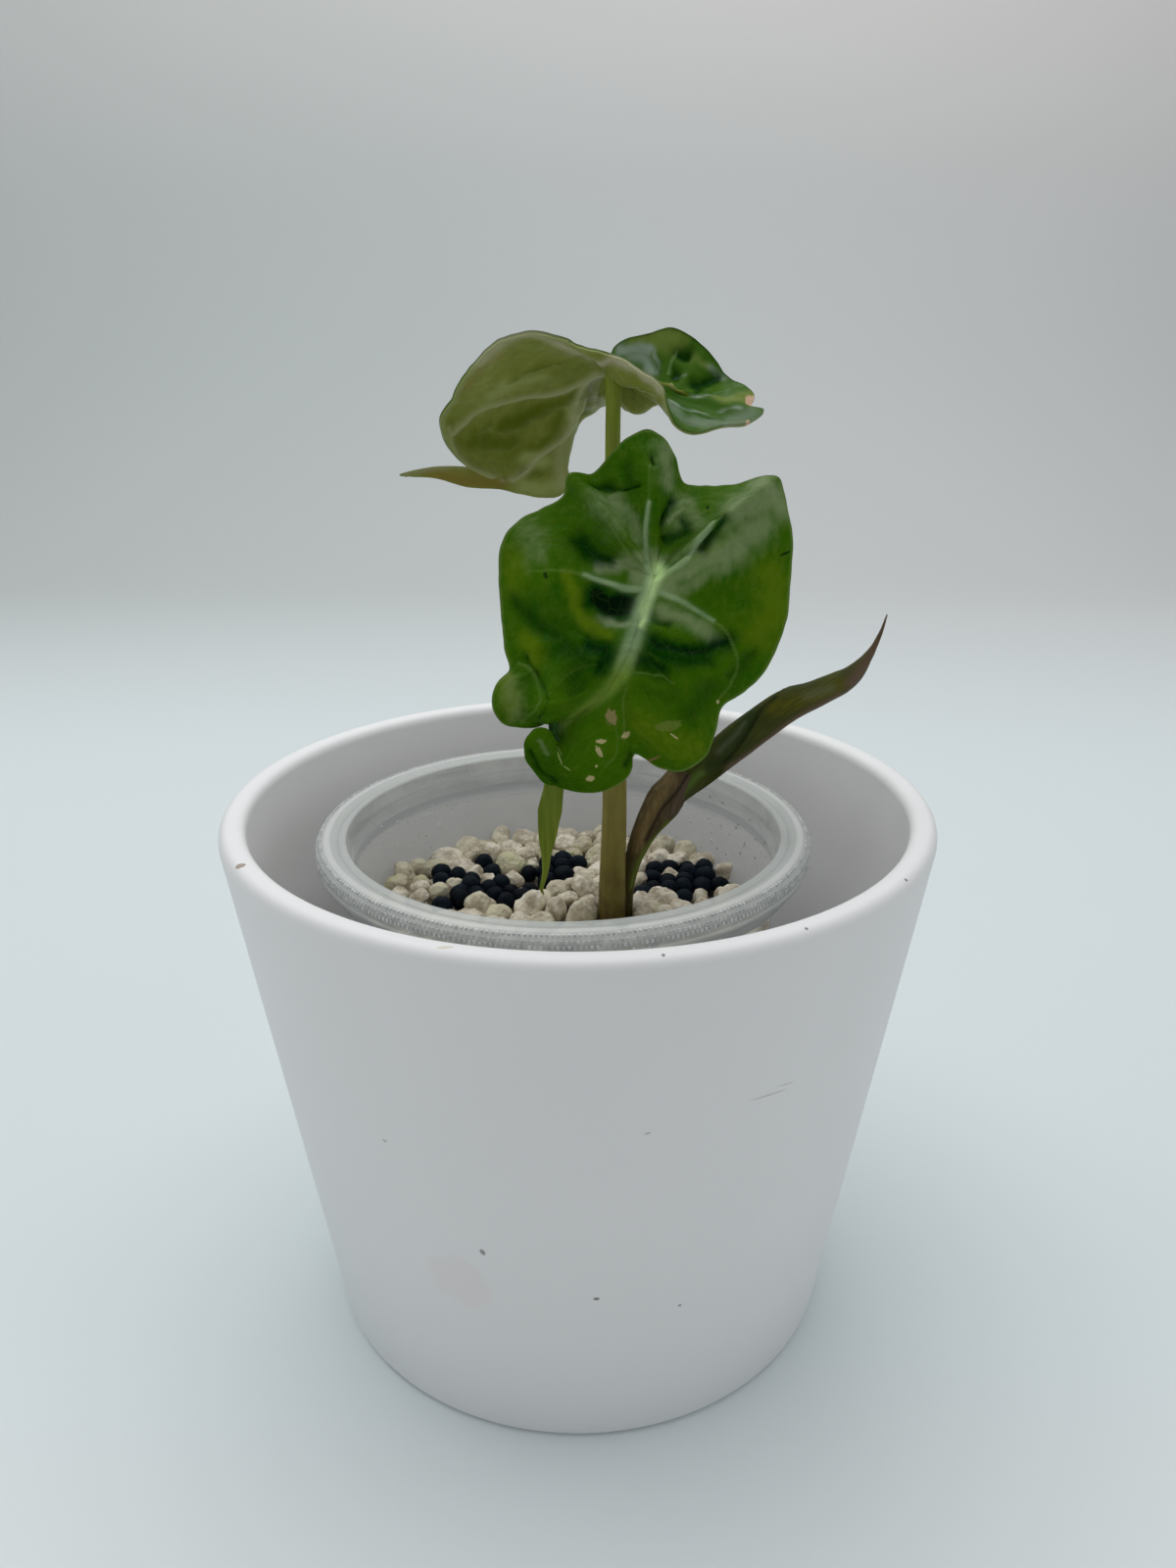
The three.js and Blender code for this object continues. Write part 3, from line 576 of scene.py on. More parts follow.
def grown(name, tree, seedbed, values):
    """Runs a tree on an object and returns the result as a plain mesh object."""
    modifier = seedbed.modifiers.new(name, "NODES")
    modifier.node_group = tree
    for item in tree.interface.items_tree:
        if item.in_out == "INPUT" and item.name in values:
            modifier[item.identifier] = values[item.name]
    evaluated = seedbed.evaluated_get(bpy.context.evaluated_depsgraph_get())
    mesh = bpy.data.meshes.new_from_object(evaluated)
    seedbed.modifiers.clear()
    bpy.data.objects.remove(seedbed)
    mesh.name = name
    piece = bpy.data.objects.new(name, mesh)
    bpy.context.scene.collection.objects.link(piece)
    print(name, "points", len(mesh.vertices))
    return piece


# %% Cup ribs
rib_tree, given = new_tree(
    "grip_ribs",
    {
        "Count": 300,
        "Radius": 0.05,
        "Centre": (0.0, 0.0, 0.0),
        "Turn": (0.0, 0.0, 0.0),
        "Rib Size": (MM, MM, MM),
    },
)
circle = {"Vertices": given["Count"], "Radius": given["Radius"]}
circle = add_node(rib_tree, "GeometryNodeMeshCircle", circle)
bar = add_node(rib_tree, "GeometryNodeMeshCube", {"Size": given["Rib Size"]})
where = add_node(rib_tree, "GeometryNodeInputPosition")
outward = add_node(rib_tree, "FunctionNodeAlignRotationToVector", {"Vector": where}, axis="X")
ring = copies_on(rib_tree, circle, bar, Rotation=outward)
moved = {"Geometry": ring, "Translation": given["Centre"], "Rotation": given["Turn"]}
hand_out(rib_tree, add_node(rib_tree, "GeometryNodeTransform", moved), given)

RIBS = 330
grip, tree, shader, _ = two_tone(
    "grip_plastic", (0.55, 0.58, 0.58), (0.92, 0.94, 0.93), 900.0, Roughness=0.25, Alpha=0.85
)
for row, inward, drop in (("upper", 0.8, 0.5), ("middle", 0.2, 1.35), ("lower", 0.0, 2.25)):
    rib_row = {
        "Count": RIBS,
        "Radius": (CUP_RIM - 0.1 - inward) * MM,
        "Centre": (*CUP_CENTRE, (CUP_TOP - drop) * MM),
        "Turn": (0.0, 0.0, math.pi / RIBS if row == "middle" else 0.0),
        "Rib Size": (0.5 * MM, 0.45 * MM, 0.6 * MM),
        "Finish": grip,
    }
    start = make_piece("rib_start", np.zeros((1, 3)), [])
    settle(grown(row + "_grip_ribs", rib_tree, start, rib_row), grip, "inner_cup")

# %% [markdown]
# ## Condensation in the cup
# Damp gravel mists the wall above it. Small drops sit on the inside of the wall, thickest low
# down on the left and the right. A band of the wall is the bed that the drops are scattered
# on; each drop is a flattened ball pressed against it.

# %% Drop scattering tree
drop_tree, given = new_tree(
    "drops", {"Density": 4000.0, "Smallest": 0.2 * MM, "Largest": 0.5 * MM, "Seed": 3}
)
scatter = {"Mesh": given["Geometry"], "Density": given["Density"], "Seed": given["Seed"]}
scatter = add_node(drop_tree, "GeometryNodeDistributePointsOnFaces", scatter)
any_size = {"Min": given["Smallest"], "Max": given["Largest"], "Seed": given["Seed"]}
any_size = add_node(drop_tree, "FunctionNodeRandomValue", any_size)
flat = vector_calc(drop_tree, "MULTIPLY", any_size, (1.0, 1.2, 0.5))
ball = add_node(drop_tree, "GeometryNodeMeshIcoSphere", {"Radius": 1.0, "Subdivisions": 1})
drops = copies_on(drop_tree, scatter, ball, Rotation=scatter.outputs["Rotation"], Scale=flat)
hand_out(drop_tree, add_node(drop_tree, "GeometryNodeSetShadeSmooth", {0: drops}), given)


# %% Drops on the wall
def wall_band(name, low, high, from_angle, to_angle, outside=False):
    """A strip of the cup's inner wall, or of its rim's outside, between two heights in mm."""
    height = np.array([low, high])
    share = (height - CUP_LOW) / (CUP_TOP - CUP_LOW)
    radius = CUP_FOOT + (CUP_NECK - CUP_FOOT) * share - 1.15
    if outside:
        radius[:] = CUP_RIM
    angle = np.radians(np.linspace(from_angle, to_angle, 25))
    points = ring_points(np.column_stack([radius, height]) * MM, angle, CUP_CENTRE)
    n = len(angle)
    return make_piece(name, points, [(i + 1, i, i + n, i + n + 1) for i in range(n - 1)])


water, tree, shader, wet = two_tone(
    "water_drops", (0.90, 0.93, 0.93), (0.75, 0.78, 0.78), 900.0, Roughness=0.06, IOR=1.33
)
feed(tree, calc(tree, "MULTIPLY_ADD", wet, 0.25, 0.3), shader.inputs["Alpha"])
# Painted glints: the bright white spots on the wall and the drops on the lip stand for the
# highlights that tiny drops catch.
glint, *_ = two_tone(
    "drop_glints", (0.80, 0.82, 0.82), (0.98, 0.98, 0.98), 900.0, Roughness=0.3, Alpha=0.8
)
grit, *_ = two_tone("grit_specks", (0.05, 0.05, 0.05), (0.22, 0.20, 0.17), 900.0, Roughness=0.8)
wetness = [
    ("drops_left", 87.0, 98.0, 118, 172, 60000.0, 0.4, 4, water),
    ("drops_right", 87.0, 97.0, 10, 66, 90000.0, 0.4, 9, water),
    ("drops_back", 89.0, 99.0, 66, 118, 8000.0, 0.35, 5, water),
    ("spots_left", 92.0, 101.0, 134, 160, 90000.0, 0.33, 11, glint),
    ("spots_right", 90.0, 97.0, 8, 40, 50000.0, 0.25, 13, glint),
    ("grit_right", 88.0, 101.0, 3, 40, 60000.0, 0.24, 17, grit),
    ("lip_drops", 101.7, 102.6, 228, 312, 300000.0, 0.26, 19, glint),
]
for name, low, high, from_angle, to_angle, density, largest, seed, kind in wetness:
    strip = wall_band(name + "_bed", low, high, from_angle, to_angle, name == "lip_drops")
    sizes = {"Smallest": 0.1 * MM, "Largest": largest * MM}
    values = {"Density": density, "Seed": seed, "Finish": kind} | sizes
    settle(grown(name, drop_tree, strip, values), kind, "inner_cup")

# %% [markdown]
# ## Pumice gravel and clay beads
# The real filling is loose pumice stones 4 to 6 mm across, with patches of dark round beads
# and the odd stone between them. The stones lie touching but not in rows, so their places
# come from pushing apart points that were scattered at random, until none overlap. One
# Geometry Nodes tree then puts a rolled, turned and lumpy ball on every point, and makes
# both the stones and the beads.

# %% Where stones and beads lie
BED_LEVEL = 84.0
BED_MIDDLE = (-3, 0.7)
BED_REACH, WALL_REACH = 41, 42.2
STALK_HOLE = (7.4, -1.2, 4.6)
BEAD_SIZE = 2.15
STONE_SIZES = (0.66, 1.2)
ROUNDS = 90
BEAD_PATCHES = [
    (-24, 5, 6.5), (-18, 9, 6.5), (-25, 18, 6), (-9, 8, 6), (-5, 15, 5), (-8, 21, 5.5),
    (18, 18, 6), (24.5, 20, 4.5), (20, 11, 5), (27, 13, 5),
]
LONE_STONES = [(-20.0, 17.5), (-15.9, 19.0), (-12.8, 14.5), (-12.0, 1.0), (22.0, 16.0), (-26, 12)]
random = np.random.default_rng(8)


def scattered(count, top_size):
    """Points pushed apart until their stones no longer overlap, with each one's size."""
    turn = random.uniform(0, 2 * math.pi, count)
    out = BED_REACH * np.sqrt(random.uniform(0, 1, count))
    spot = np.stack([out * np.cos(turn), out * np.sin(turn)], axis=1) + BED_MIDDLE
    size = random.uniform(*STONE_SIZES, count) * top_size
    bead = np.zeros(count, bool)
    for x, y, radius in BEAD_PATCHES:
        bead |= np.hypot(spot[:, 0] - x, spot[:, 1] - y) < radius
    size[bead] = BEAD_SIZE
    for _ in range(ROUNDS):
        gap = spot[:, None] - spot[None]
        distance = np.linalg.norm(gap, axis=2) + np.eye(count) * 99
        press = np.clip(0.93 * (size[:, None] + size[None]) - distance, 0, None)
        spot += 0.3 * (gap / distance[..., None] * press[..., None]).sum(axis=1)
        from_stalk = spot - STALK_HOLE[:2]
        clear = np.linalg.norm(from_stalk, axis=1)
        short = np.clip(STALK_HOLE[2] + size * 0.7 - clear, 0, None)
        spot += from_stalk / clear[:, None] * short[:, None]
        centred = spot - BED_MIDDLE
        far = np.linalg.norm(centred, axis=1)
        past_wall = np.clip(far + size * 0.9 - WALL_REACH, 0, None)
        spot -= centred / far[:, None] * past_wall[:, None]
    return spot, size, bead


top_spot, top_size, is_bead = scattered(226, 3.05)
for lone in LONE_STONES:
    is_bead[np.argmin(np.hypot(*(top_spot - lone).T))] = False
print("stones on top", int((~is_bead).sum()), "beads", int(is_bead.sum()))

# %% Points for the gravel tree
mound = np.clip((top_spot[:, 1] - 28) * 0.05, 0, None)
top_height = BED_LEVEL + 0.6 + mound + random.uniform(-0.9, 1.3, len(top_spot))
under_spot, under_size, _ = scattered(230, 2.6)
stone_spots = top_spot[~is_bead]
algae = np.clip(random.normal(0.05, 0.3, len(stone_spots)), 0, 1)
for x, y in [(-38, 13), (-34, 16), (-11, 15), (-2, 29), (2, 31), (-8, 30), (4, 27), (23, 33)]:
    near = np.hypot(stone_spots[:, 0] - x, stone_spots[:, 1] - y)
    algae = np.maximum(algae, np.clip(1.5 - near / 3.2, 0, 1))


def point_bed(name, spots, heights, sizes, shade):
    """Loose points that carry each stone's size and shade."""
    points = np.column_stack([spots, heights]) * MM
    return make_piece(name, points, [], {"size": sizes * MM, "shade": shade})


stone_sizes = top_size[~is_bead] * 1.06
stone_bed = point_bed("stone_points", stone_spots, top_height[~is_bead], stone_sizes, algae)
under_heights = np.full(len(under_spot), BED_LEVEL - 2.6)
under_bed = point_bed("under_points", under_spot, under_heights, under_size, under_size * 0)
bead_spots = top_spot[is_bead]
bead_count = len(bead_spots)
bead_heights = BED_LEVEL + 1.0 + random.uniform(-0.2, 1.1, bead_count)
bead_sizes = random.uniform(1.95, 2.35, bead_count)
bead_shade = random.uniform(0, 1, bead_count)
bead_bed = point_bed("bead_points", bead_spots, bead_heights, bead_sizes, bead_shade)

# %% Gravel tree
gravel_tree, given = new_tree(
    "gravel",
    {
        "Thinnest": (0.75, 0.7, 0.6),
        "Fattest": (1.35, 1.1, 1.0),
        "Lump Height": MM,
        "Lumps Per Metre": 260.0,
        "Fineness": 3,
        "Seed": 1,
    },
)


def any_vector(low, high):
    """A random vector for each point, between two others."""
    inputs = {0: low, 1: high, "Seed": given["Seed"]}
    return add_node(gravel_tree, "FunctionNodeRandomValue", inputs, data_type="FLOAT_VECTOR")


size = add_node(gravel_tree, "GeometryNodeInputNamedAttribute", {"Name": "size"})
scale = vector_calc(gravel_tree, "MULTIPLY", any_vector(given["Thinnest"], given["Fattest"]), size)
ball = {"Radius": 1.0, "Subdivisions": given["Fineness"]}
ball = add_node(gravel_tree, "GeometryNodeMeshIcoSphere", ball)
roll = any_vector((0.0, 0.0, 0.0), (6.28, 6.28, 6.28))
stones = copies_on(gravel_tree, given["Geometry"], ball, Rotation=roll, Scale=scale)
where = add_node(gravel_tree, "GeometryNodeInputPosition")
lumps = {"Vector": where, "Scale": given["Lumps Per Metre"], "Detail": 3.5}
lumps = add_node(gravel_tree, "ShaderNodeTexNoise", lumps)
swell = calc(gravel_tree, "SUBTRACT", lumps, 0.5)
swell = calc(gravel_tree, "MULTIPLY", swell, given["Lump Height"])
outward = add_node(gravel_tree, "GeometryNodeInputNormal")
push = vector_calc(gravel_tree, "MULTIPLY", outward, swell)
lumpy = add_node(gravel_tree, "GeometryNodeSetPosition", {"Geometry": stones, "Offset": push})
hand_out(gravel_tree, add_node(gravel_tree, "GeometryNodeSetShadeSmooth", {0: lumpy}), given)

# %% Pumice finish
pumice, tree, shader, place = new_finish("damp_pumice", Roughness=0.85)
grimy = mottled(tree, place, 330.0, 0.16)
freckled = mottled(tree, place, 1500.0, 0.12)
green_film = calc(tree, "MULTIPLY", painted(tree, "shade"), grimy)
# Painted shade: stones lower in the bed are painted dark, for the shade in the gaps between the
# stones on top.
sunk_shade = spread(tree, height_of(tree, place), (BED_LEVEL + 0.2) * MM, (BED_LEVEL - 2.8) * MM)
stone_colour = layered(
    tree,
    tint(tree, grimy, (0.42, 0.35, 0.24), (0.82, 0.76, 0.62)),
    (freckled, 0.25, (0.90, 0.88, 0.82)),
    (green_film, 0.8, (0.33, 0.34, 0.10)),
    (sunk_shade, 0.85, (0.06, 0.05, 0.035)),
)
feed(tree, stone_colour, shader.inputs["Base Color"])
bump(tree, shader, effect(tree, grain, place, Size=900.0, Pits=1.2), 0.00035, 0.8)
lumps = {"Lump Height": 4.6 * MM, "Lumps Per Metre": 230.0, "Seed": 4, "Finish": pumice}
for name, bed, fineness in (("pumice_stones", stone_bed, 3), ("stones_below", under_bed, 2)):
    stones = grown(name, gravel_tree, bed, lumps | {"Fineness": fineness})
    settle(stones, pumice, "pumice_bed", "pumice_bed")

# %% Bead finish
fired_clay, tree, shader, place = new_finish(
    "dark_clay", Roughness=0.55, Specular_IOR_Level=0.06
)
bead_colour = tint(tree, painted(tree, "shade"), (0.001, 0.002, 0.004), (0.004, 0.009, 0.016))
dusty = mottled(tree, place, 700.0, 0.12)
bead_colour = layered(tree, bead_colour, (dusty, 0.10, (0.03, 0.045, 0.06)))
feed(tree, bead_colour, shader.inputs["Base Color"])
bump(tree, shader, effect(tree, grain, place, Size=1600.0, Pits=0.6), 0.0001, 0.5)
round_beads = {
    "Thinnest": (0.93, 0.93, 0.9), "Fattest": (1.05, 1.05, 1.0), "Lump Height": 1.1 * MM,
    "Lumps Per Metre": 300.0, "Fineness": 3, "Seed": 6, "Finish": fired_clay,
}
beads = grown("clay_beads", gravel_tree, bead_bed, round_beads)
settle(beads, fired_clay, "bead_cluster_left", "bead_cluster_left", "bead_cluster_right")

# %% Filling below the stones
FILL_TOP = BED_LEVEL - 3.4
filling_outline = [
    (0, CUP_LOW + 1.3), (CUP_FOOT - 4.5, CUP_LOW + 1.3), (CUP_FOOT - 1.2, CUP_LOW + 6),
    (CUP_NECK - 4.2, FILL_TOP - 0.4), (CUP_NECK - 4.8, FILL_TOP), (0, FILL_TOP),
]
filling = turned("gravel_filling", filling_outline, 96, CUP_CENTRE)
packed_gravel, tree, shader, place = new_finish("packed_gravel", Roughness=0.9)
pebbles = {"Vector": place, "Scale": 210.0}
pebbles = add_node(tree, "ShaderNodeTexVoronoi", pebbles, feature="DISTANCE_TO_EDGE")
# Painted shade: the lines between the pebbles are painted dark, for the shade in the gaps.
gaps = spread(tree, pebbles, 0.02, 0.16)
packed = tint(tree, gaps, (0.05, 0.04, 0.03), (0.62, 0.57, 0.48))
feed(tree, packed, shader.inputs["Base Color"])
bump(tree, shader, gaps, 0.0012, 0.9)
settle(filling, packed_gravel, "pumice_bed")

# %% [markdown]
# ## Corm and roots
# The corm and its roots are hidden in the gravel. Their solid stays as it is, and only gets
# the pale, fibrous finish of a real corm.

# %% Corm finish
corm_skin, tree, shader, fibres = two_tone(
    "corm_skin", (0.45, 0.38, 0.22), (0.72, 0.66, 0.45), 500.0, Roughness=0.8
)
bump(tree, shader, fibres, 0.0003, 0.6)
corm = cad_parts["corm_with_roots"]
corm.data.materials.clear()
corm.data.materials.append(corm_skin)

# %% [markdown]
# ## Stalks
# The tall stalk of the top leaf and the stalk of the front leaf leave the gravel as one: the
# front leaf's stalk wraps the tall one at its base and parts from it higher up. Both are
# yellow-green at the top and turn khaki, then brown, towards the gravel. A section with a few
# shallow ridges, swept along the stalk's curve, gives the fine lines that run up a real one.

# %% Stalk shapes
ACROSS = (1.0, 0.0, 0.0)
AWAY = (0.0, 1.0, 0.0)


def ridged(along, angle):
    """A section with shallow lengthwise ridges."""
    return 1 + 0.02 * np.cos(11 * angle + 2 * along) + 0.012 * np.cos(23 * angle)


tall_curve = [
    (7.2, -0.3, 78), (7.2, -0.3, 100), (7.2, -0.2, 125), (6.6, -0.1, 160), (6.4, 0, 180),
    (6.6, 0, 193.2),
]
tall_sizes = [
    (0, 1.3, 1.3), (0.55, 1.45, 1.45), (0.88, 1.35, 1.35), (0.97, 1.6, 1.6), (1, 1.9, 1.9),
]
tall_stalk = swept("tall_stalk", tall_curve, tall_sizes, ACROSS, ridged)
front_curve = [
    (6.8, -1.9, 78), (6.9, -1.9, 92), (7.2, -2, 108), (7.2, -2.4, 121), (8, -5.5, 134),
    (10.3, -13, 147), (12.4, -20.8, 156.9), (12.85, -23.0, 159.1),
]
front_sizes = [
    (0, 3.2, 2.7), (0.1, 3.3, 2.8), (0.2, 2.7, 2.55), (0.3, 2.42, 2.4), (0.46, 2.3, 2.3),
    (0.6, 1.7, 1.8), (0.92, 1.35, 1.4), (1, 1.7, 1.7),
]
front_stalk = swept(
    "front_stalk", front_curve, front_sizes, ACROSS, ridged, sides=56, steps=160
)

# %% Stalk finish
stalk_skin, tree, shader, place = new_finish(
    "stalk_skin", Roughness=0.42, Specular_IOR_Level=0.15
)
height = height_of(tree, place)
streaks = streaked(tree, place, (1.0, 1.0, 0.06), 1500.0)
stalk_colour = layered(
    tree,
    tint(tree, spread(tree, height, 0.105, 0.165), (0.27, 0.228, 0.058), (0.2702, 0.3622, 0.0322)),
    (spread(tree, height, 0.104, 0.086), 1.0, (0.0978, 0.0633, 0.0184)),
    (streaks, 0.35, (0.115, 0.1035, 0.023)),
    (mottled(tree, place, 260.0, 0.14), 0.25, (0.3105, 0.299, 0.069)),
)
feed(tree, stalk_colour, shader.inputs["Base Color"])
bump(tree, shader, streaks, 0.00012, 0.6)
settle(tall_stalk, stalk_skin, "petiole_top", "petiole_top")
settle(front_stalk, stalk_skin, "petiole_front", "petiole_front")

# %% [markdown]
# ## New leaf and its sheath
# The newest leaf is still rolled up: one edge lies over the other in a long seam, and its tip
# is a fine point. It comes out of a papery brown sheath that has torn open at the top. The
# rolled leaf is a swept section whose radius steps at the seam. The sheath is a ridged tube
# round it that narrows at its torn end.

# %% Rolled new leaf
def rolled(along, angle):
    """A section that steps at the seam, and swells where the outer turn starts."""
    seam = np.clip(0.5 + 1.45 * (0.47 - along), 0.47, 0.98)
    turn = (angle / (2 * math.pi) - seam) % 1.0
    shown = np.clip((0.52 - along) * 12, 0, 1)
    step = 0.16 * np.exp(-turn * 5) * shown
    shoulder = 0.10 * np.exp(-(((along - 0.44) / 0.05) ** 2)) * np.clip(-np.cos(angle), 0, 1)
    flute = 0.025 * np.cos(3 * angle + 6 * along)
    return 1 + step + shoulder + flute


leaf_curve = [
    (15.6, 0.7, 106.5), (20.5, 1.3, 112.2), (27, 2, 118), (34.5, 2.8, 123.9), (41.5, 3.4, 128.6),
    (48, 4, 131.4), (54, 4.6, 134.4), (57.6, 5.1, 138.8), (59.6, 5.6, 143), (60.7, 6, 146.7),
]
leaf_sizes = [
    (0, 1.5, 1.4), (0.12, 2.6, 2.0), (0.2, 3.2, 2.2), (0.3, 3.6, 2.4), (0.38, 3.5, 2.5),
    (0.47, 3.15, 2.3), (0.55, 2.8, 2.1), (0.63, 2.5, 1.8), (0.7, 1.8, 1.4), (0.76, 1.05, 0.9),
    (0.82, 0.6, 0.55), (0.9, 0.36, 0.34), (1, 0.12, 0.12),
]
new_leaf = swept("rolled_leaf", leaf_curve, leaf_sizes, AWAY, rolled, sides=96, steps=200)
leaf_strokes = {
    "dark": [
        (1.9, 1.5, 0.85, [(29, 121.5), (32.5, 125), (34.3, 127.3)]),
        (1.4, 1.4, 0.7, [(26.5, 117.5), (29, 118.8)]),
    ],
    "crease_shade": [(0.35, 0.3, 1.0, [(39, 131.2), (36, 128.4), (34, 124.8), (31.5, 121), (29, 118)])],
    "sheen": [
        (0.7, 0.5, 0.35, [(28, 120.5), (31, 123.5), (33, 126)]),
        (0.9, 0.9, 0.3, [(45, 131.3), (50, 132.8)]),
    ],
    "warm": [(1.9, 1.7, 1.0, [(38.5, 129), (43.7, 130.3), (47.6, 131.6), (52, 133.4)])],
    "plum": [
        (0.8, 1.1, 1.0, [(30, 117), (35, 120.3), (39.4, 124), (43.7, 127), (48, 129.2), (52, 131)]),
        (1.5, 0.8, 1.0, [(54, 133.6), (56.5, 137), (58.4, 140.4), (60, 144), (60.6, 146.4)]),
    ],
    "lime": [(0.9, 0.9, 0.9, [(20.5, 111), (22.5, 114), (24.5, 116)])],
}
paint(new_leaf, leaf_strokes)

# %% Rolled leaf finish
rolled_skin, tree, shader, place = new_finish(
    "rolled_leaf_skin", Roughness=0.38, Specular_IOR_Level=0.12
)
along = painted(tree, "along")
round_share = calc(tree, "MULTIPLY_ADD", along, 0.5, painted(tree, "around"))
wrapped = {"X": round_share, "Y": calc(tree, "MULTIPLY", along, 0.25)}
veinlets = mottled(tree, add_node(tree, "ShaderNodeCombineXYZ", wrapped), 55.0, 0.15)
cloudy = mottled(tree, place, 150.0)
leaf_colour = layered(
    tree,
    tint(tree, cloudy, (0.044, 0.0572, 0.0088), (0.077, 0.0924, 0.0132)),
    (painted(tree, "warm"), 1.0, (0.125, 0.1232, 0.008)),
    (veinlets, 0.5, (0.033, 0.0396, 0.0055)),
    (painted(tree, "dark"), 1.0, (0.0242, 0.0484, 0.0088)),
    (painted(tree, "lime"), 1.0, (0.1155, 0.1925, 0.033)),
    (painted(tree, "plum"), 1.0, (0.150, 0.100, 0.062)),
    # Painted reflection on the sheen strokes, and painted shade in the dark line along the seam.
    (painted(tree, "sheen"), 1.0, (0.209, 0.2365, 0.1485)),
    (painted(tree, "crease_shade"), 1.0, (0.011, 0.0176, 0.0033)),
)
feed(tree, leaf_colour, shader.inputs["Base Color"])
bump(tree, shader, veinlets, 0.00018, 0.6)
settle(new_leaf, rolled_skin, "new_leaf", "new_leaf")

# %% Sheath
sheath_curve = [
    (9.8, 0.6, 78), (10.0, 0.6, 90), (11.3, 0.5, 97), (13.7, 0.5, 103.5), (17.3, 0.8, 109.5),
    (21.2, 1.3, 116.2),
]
sheath_sizes = [
    (0, 1.4, 1.4), (0.2, 1.4, 1.4), (0.4, 1.75, 1.8), (0.6, 2.6, 2.4), (0.78, 3.75, 3.0),
    (0.84, 3.7, 3.0), (0.9, 3.0, 2.8), (1, 2.3, 2.3),
]
sheath = swept("sheath_tube", sheath_curve, sheath_sizes, AWAY, ridged, sides=72, steps=160)
sheath_strokes = {
    "light": [(2.0, 1.5, 1.0, [(18, 114.8), (14.9, 109.5), (13, 105.3), (11.8, 100)])],
    "crease_shade": [
        (0.32, 0.3, 1.0, [(21.8, 115.8), (19.4, 112.2), (17, 109.5), (15.2, 105.8), (13.6, 102)]),
    ],
    "plum": [(1.2, 1.2, 0.9, [(21.4, 113.4), (19.6, 109.8), (18, 107.5)])],
    "lime": [
        (0.75, 0.7, 1.0, [(18, 105.8), (16.3, 103.2), (14.1, 100.3), (12.4, 97.1)]),
        (0.7, 0.5, 0.8, [(12.4, 97.1), (11.3, 93.7), (10.8, 91)]),
    ],
}
paint(sheath, sheath_strokes)

# %% Sheath finish
papery, tree, shader, place = new_finish(
    "papery_sheath", Roughness=0.55, Specular_IOR_Level=0.15
)
dry = mottled(tree, place, 150.0)
fibre = streaked(tree, place, (1, 1, 0.07), 1300.0, lean=0.55)
bark = layered(
    tree,
    tint(tree, dry, (0.0713, 0.0529, 0.023), (0.115, 0.0874, 0.0437)),
    (painted(tree, "light"), 1.0, (0.285, 0.205, 0.085)),
    (painted(tree, "plum"), 1.0, (0.145, 0.105, 0.070)),
    (fibre, 0.45, (0.046, 0.0345, 0.0161)),
    (spread(tree, height_of(tree, place), 0.104, 0.090), 0.8, (0.062, 0.060, 0.010)),
    # Painted shade in the dark line along the sheath's fold.
    (painted(tree, "crease_shade"), 1.0, (0.0184, 0.0115, 0.0069)),
    (painted(tree, "lime"), 1.0, (0.1323, 0.2012, 0.023)),
)
feed(tree, bark, shader.inputs["Base Color"])
bump(tree, shader, fibre, 0.00025, 0.8)
settle(sheath, papery, "new_leaf_sheath", "new_leaf_sheath")

# %% [markdown]
# ## Leaf blades
# A blade is built as it grows. Ribs run from the midrib out to the leaf's edge, and the sheet
# is stretched over them: straight lines first, then bowed, then hollowed between the main
# veins near the stalk, as alocasia leaves are. The rib list is the same that shaped the
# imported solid, so the outline stays the same, but it is sampled much more finely.


# %% Closed edge curve
def closed_curve(points, samples):
    """A smooth closed curve through the points that keeps close to them at tight corners."""
    count = len(points)
    i = np.arange(count)
    a, b, c, d = (points[(i + shift) % count] for shift in (-1, 0, 1, 2))
    steps = [np.linalg.norm(q - p, axis=1) ** 0.5 for p, q in ((a, b), (b, c), (c, d))]
    first, middle, last = [np.maximum(s, 1e-4)[:, None] for s in steps]
    leave = ((b - a) / first - (c - a) / (first + middle) + (c - b) / middle) * middle
    arrive = ((c - b) / middle - (d - b) / (middle + last) + (d - c) / last) * middle
    square, cube = 3 * (c - b) - 2 * leave - arrive, 2 * (b - c) + leave + arrive
    rows = [b + leave * t + square * t**2 + cube * t**3 for t in np.arange(samples) / samples]
    return np.stack(rows, axis=1).reshape(-1, points.shape[1])


# %% The blade builder
SAMPLES = 11
RINGS = 76
HALF_THICK, VEIN_RISE = 0.34, 0.10
# FOLD_BAND is where a fold turns over, as shares of the way from the midrib to the edge.
# Hollows are deepest at 1 / HOLLOW_RISE of that way, and fade out between two stations of the
# midrib. Where the main veins stand less than WIDE_GAP mm apart the hollows are shallower.
# RIPPLES are the surface's own waves: how fine, and how strong. They are calmer at the midrib.
FOLD_BAND = (0.56, 0.76)
HOLLOW_RISE = 2.6
HOLLOWS_END = (2.6, 4.0)
WIDE_GAP, LEAST_HOLLOW = 26, 0.2
RIPPLES = ((0.16, 1.0), (0.5, 0.4))
CALM = 0.3
WANDER = 0.7
USUAL_RIB = (0, 0, 0, 0, (0, 0, 0), 0, False)


def smooth_step(value, low, high):
    """Rises from 0 to 1 between low and high, without a corner."""
    share = np.clip((value - low) / (high - low), 0, 1)
    return share * share * (3 - 2 * share)


def between_veins(edge, marks, position):
    """How far each place on the edge is from a main vein, as a share of the hollows' depth."""
    count = len(edge)
    passed = np.searchsorted(marks, position, side="right")
    before, following = marks[passed - 1], marks[passed % len(marks)]
    length = (following - before) % count
    length[length == 0] = count
    between = np.sin(math.pi * ((position - before) % count) / length) ** 2
    sector = np.linalg.norm(edge[following] - edge[before], axis=1)
    return between * np.clip(sector / WIDE_GAP, LEAST_HOLLOW, 1)


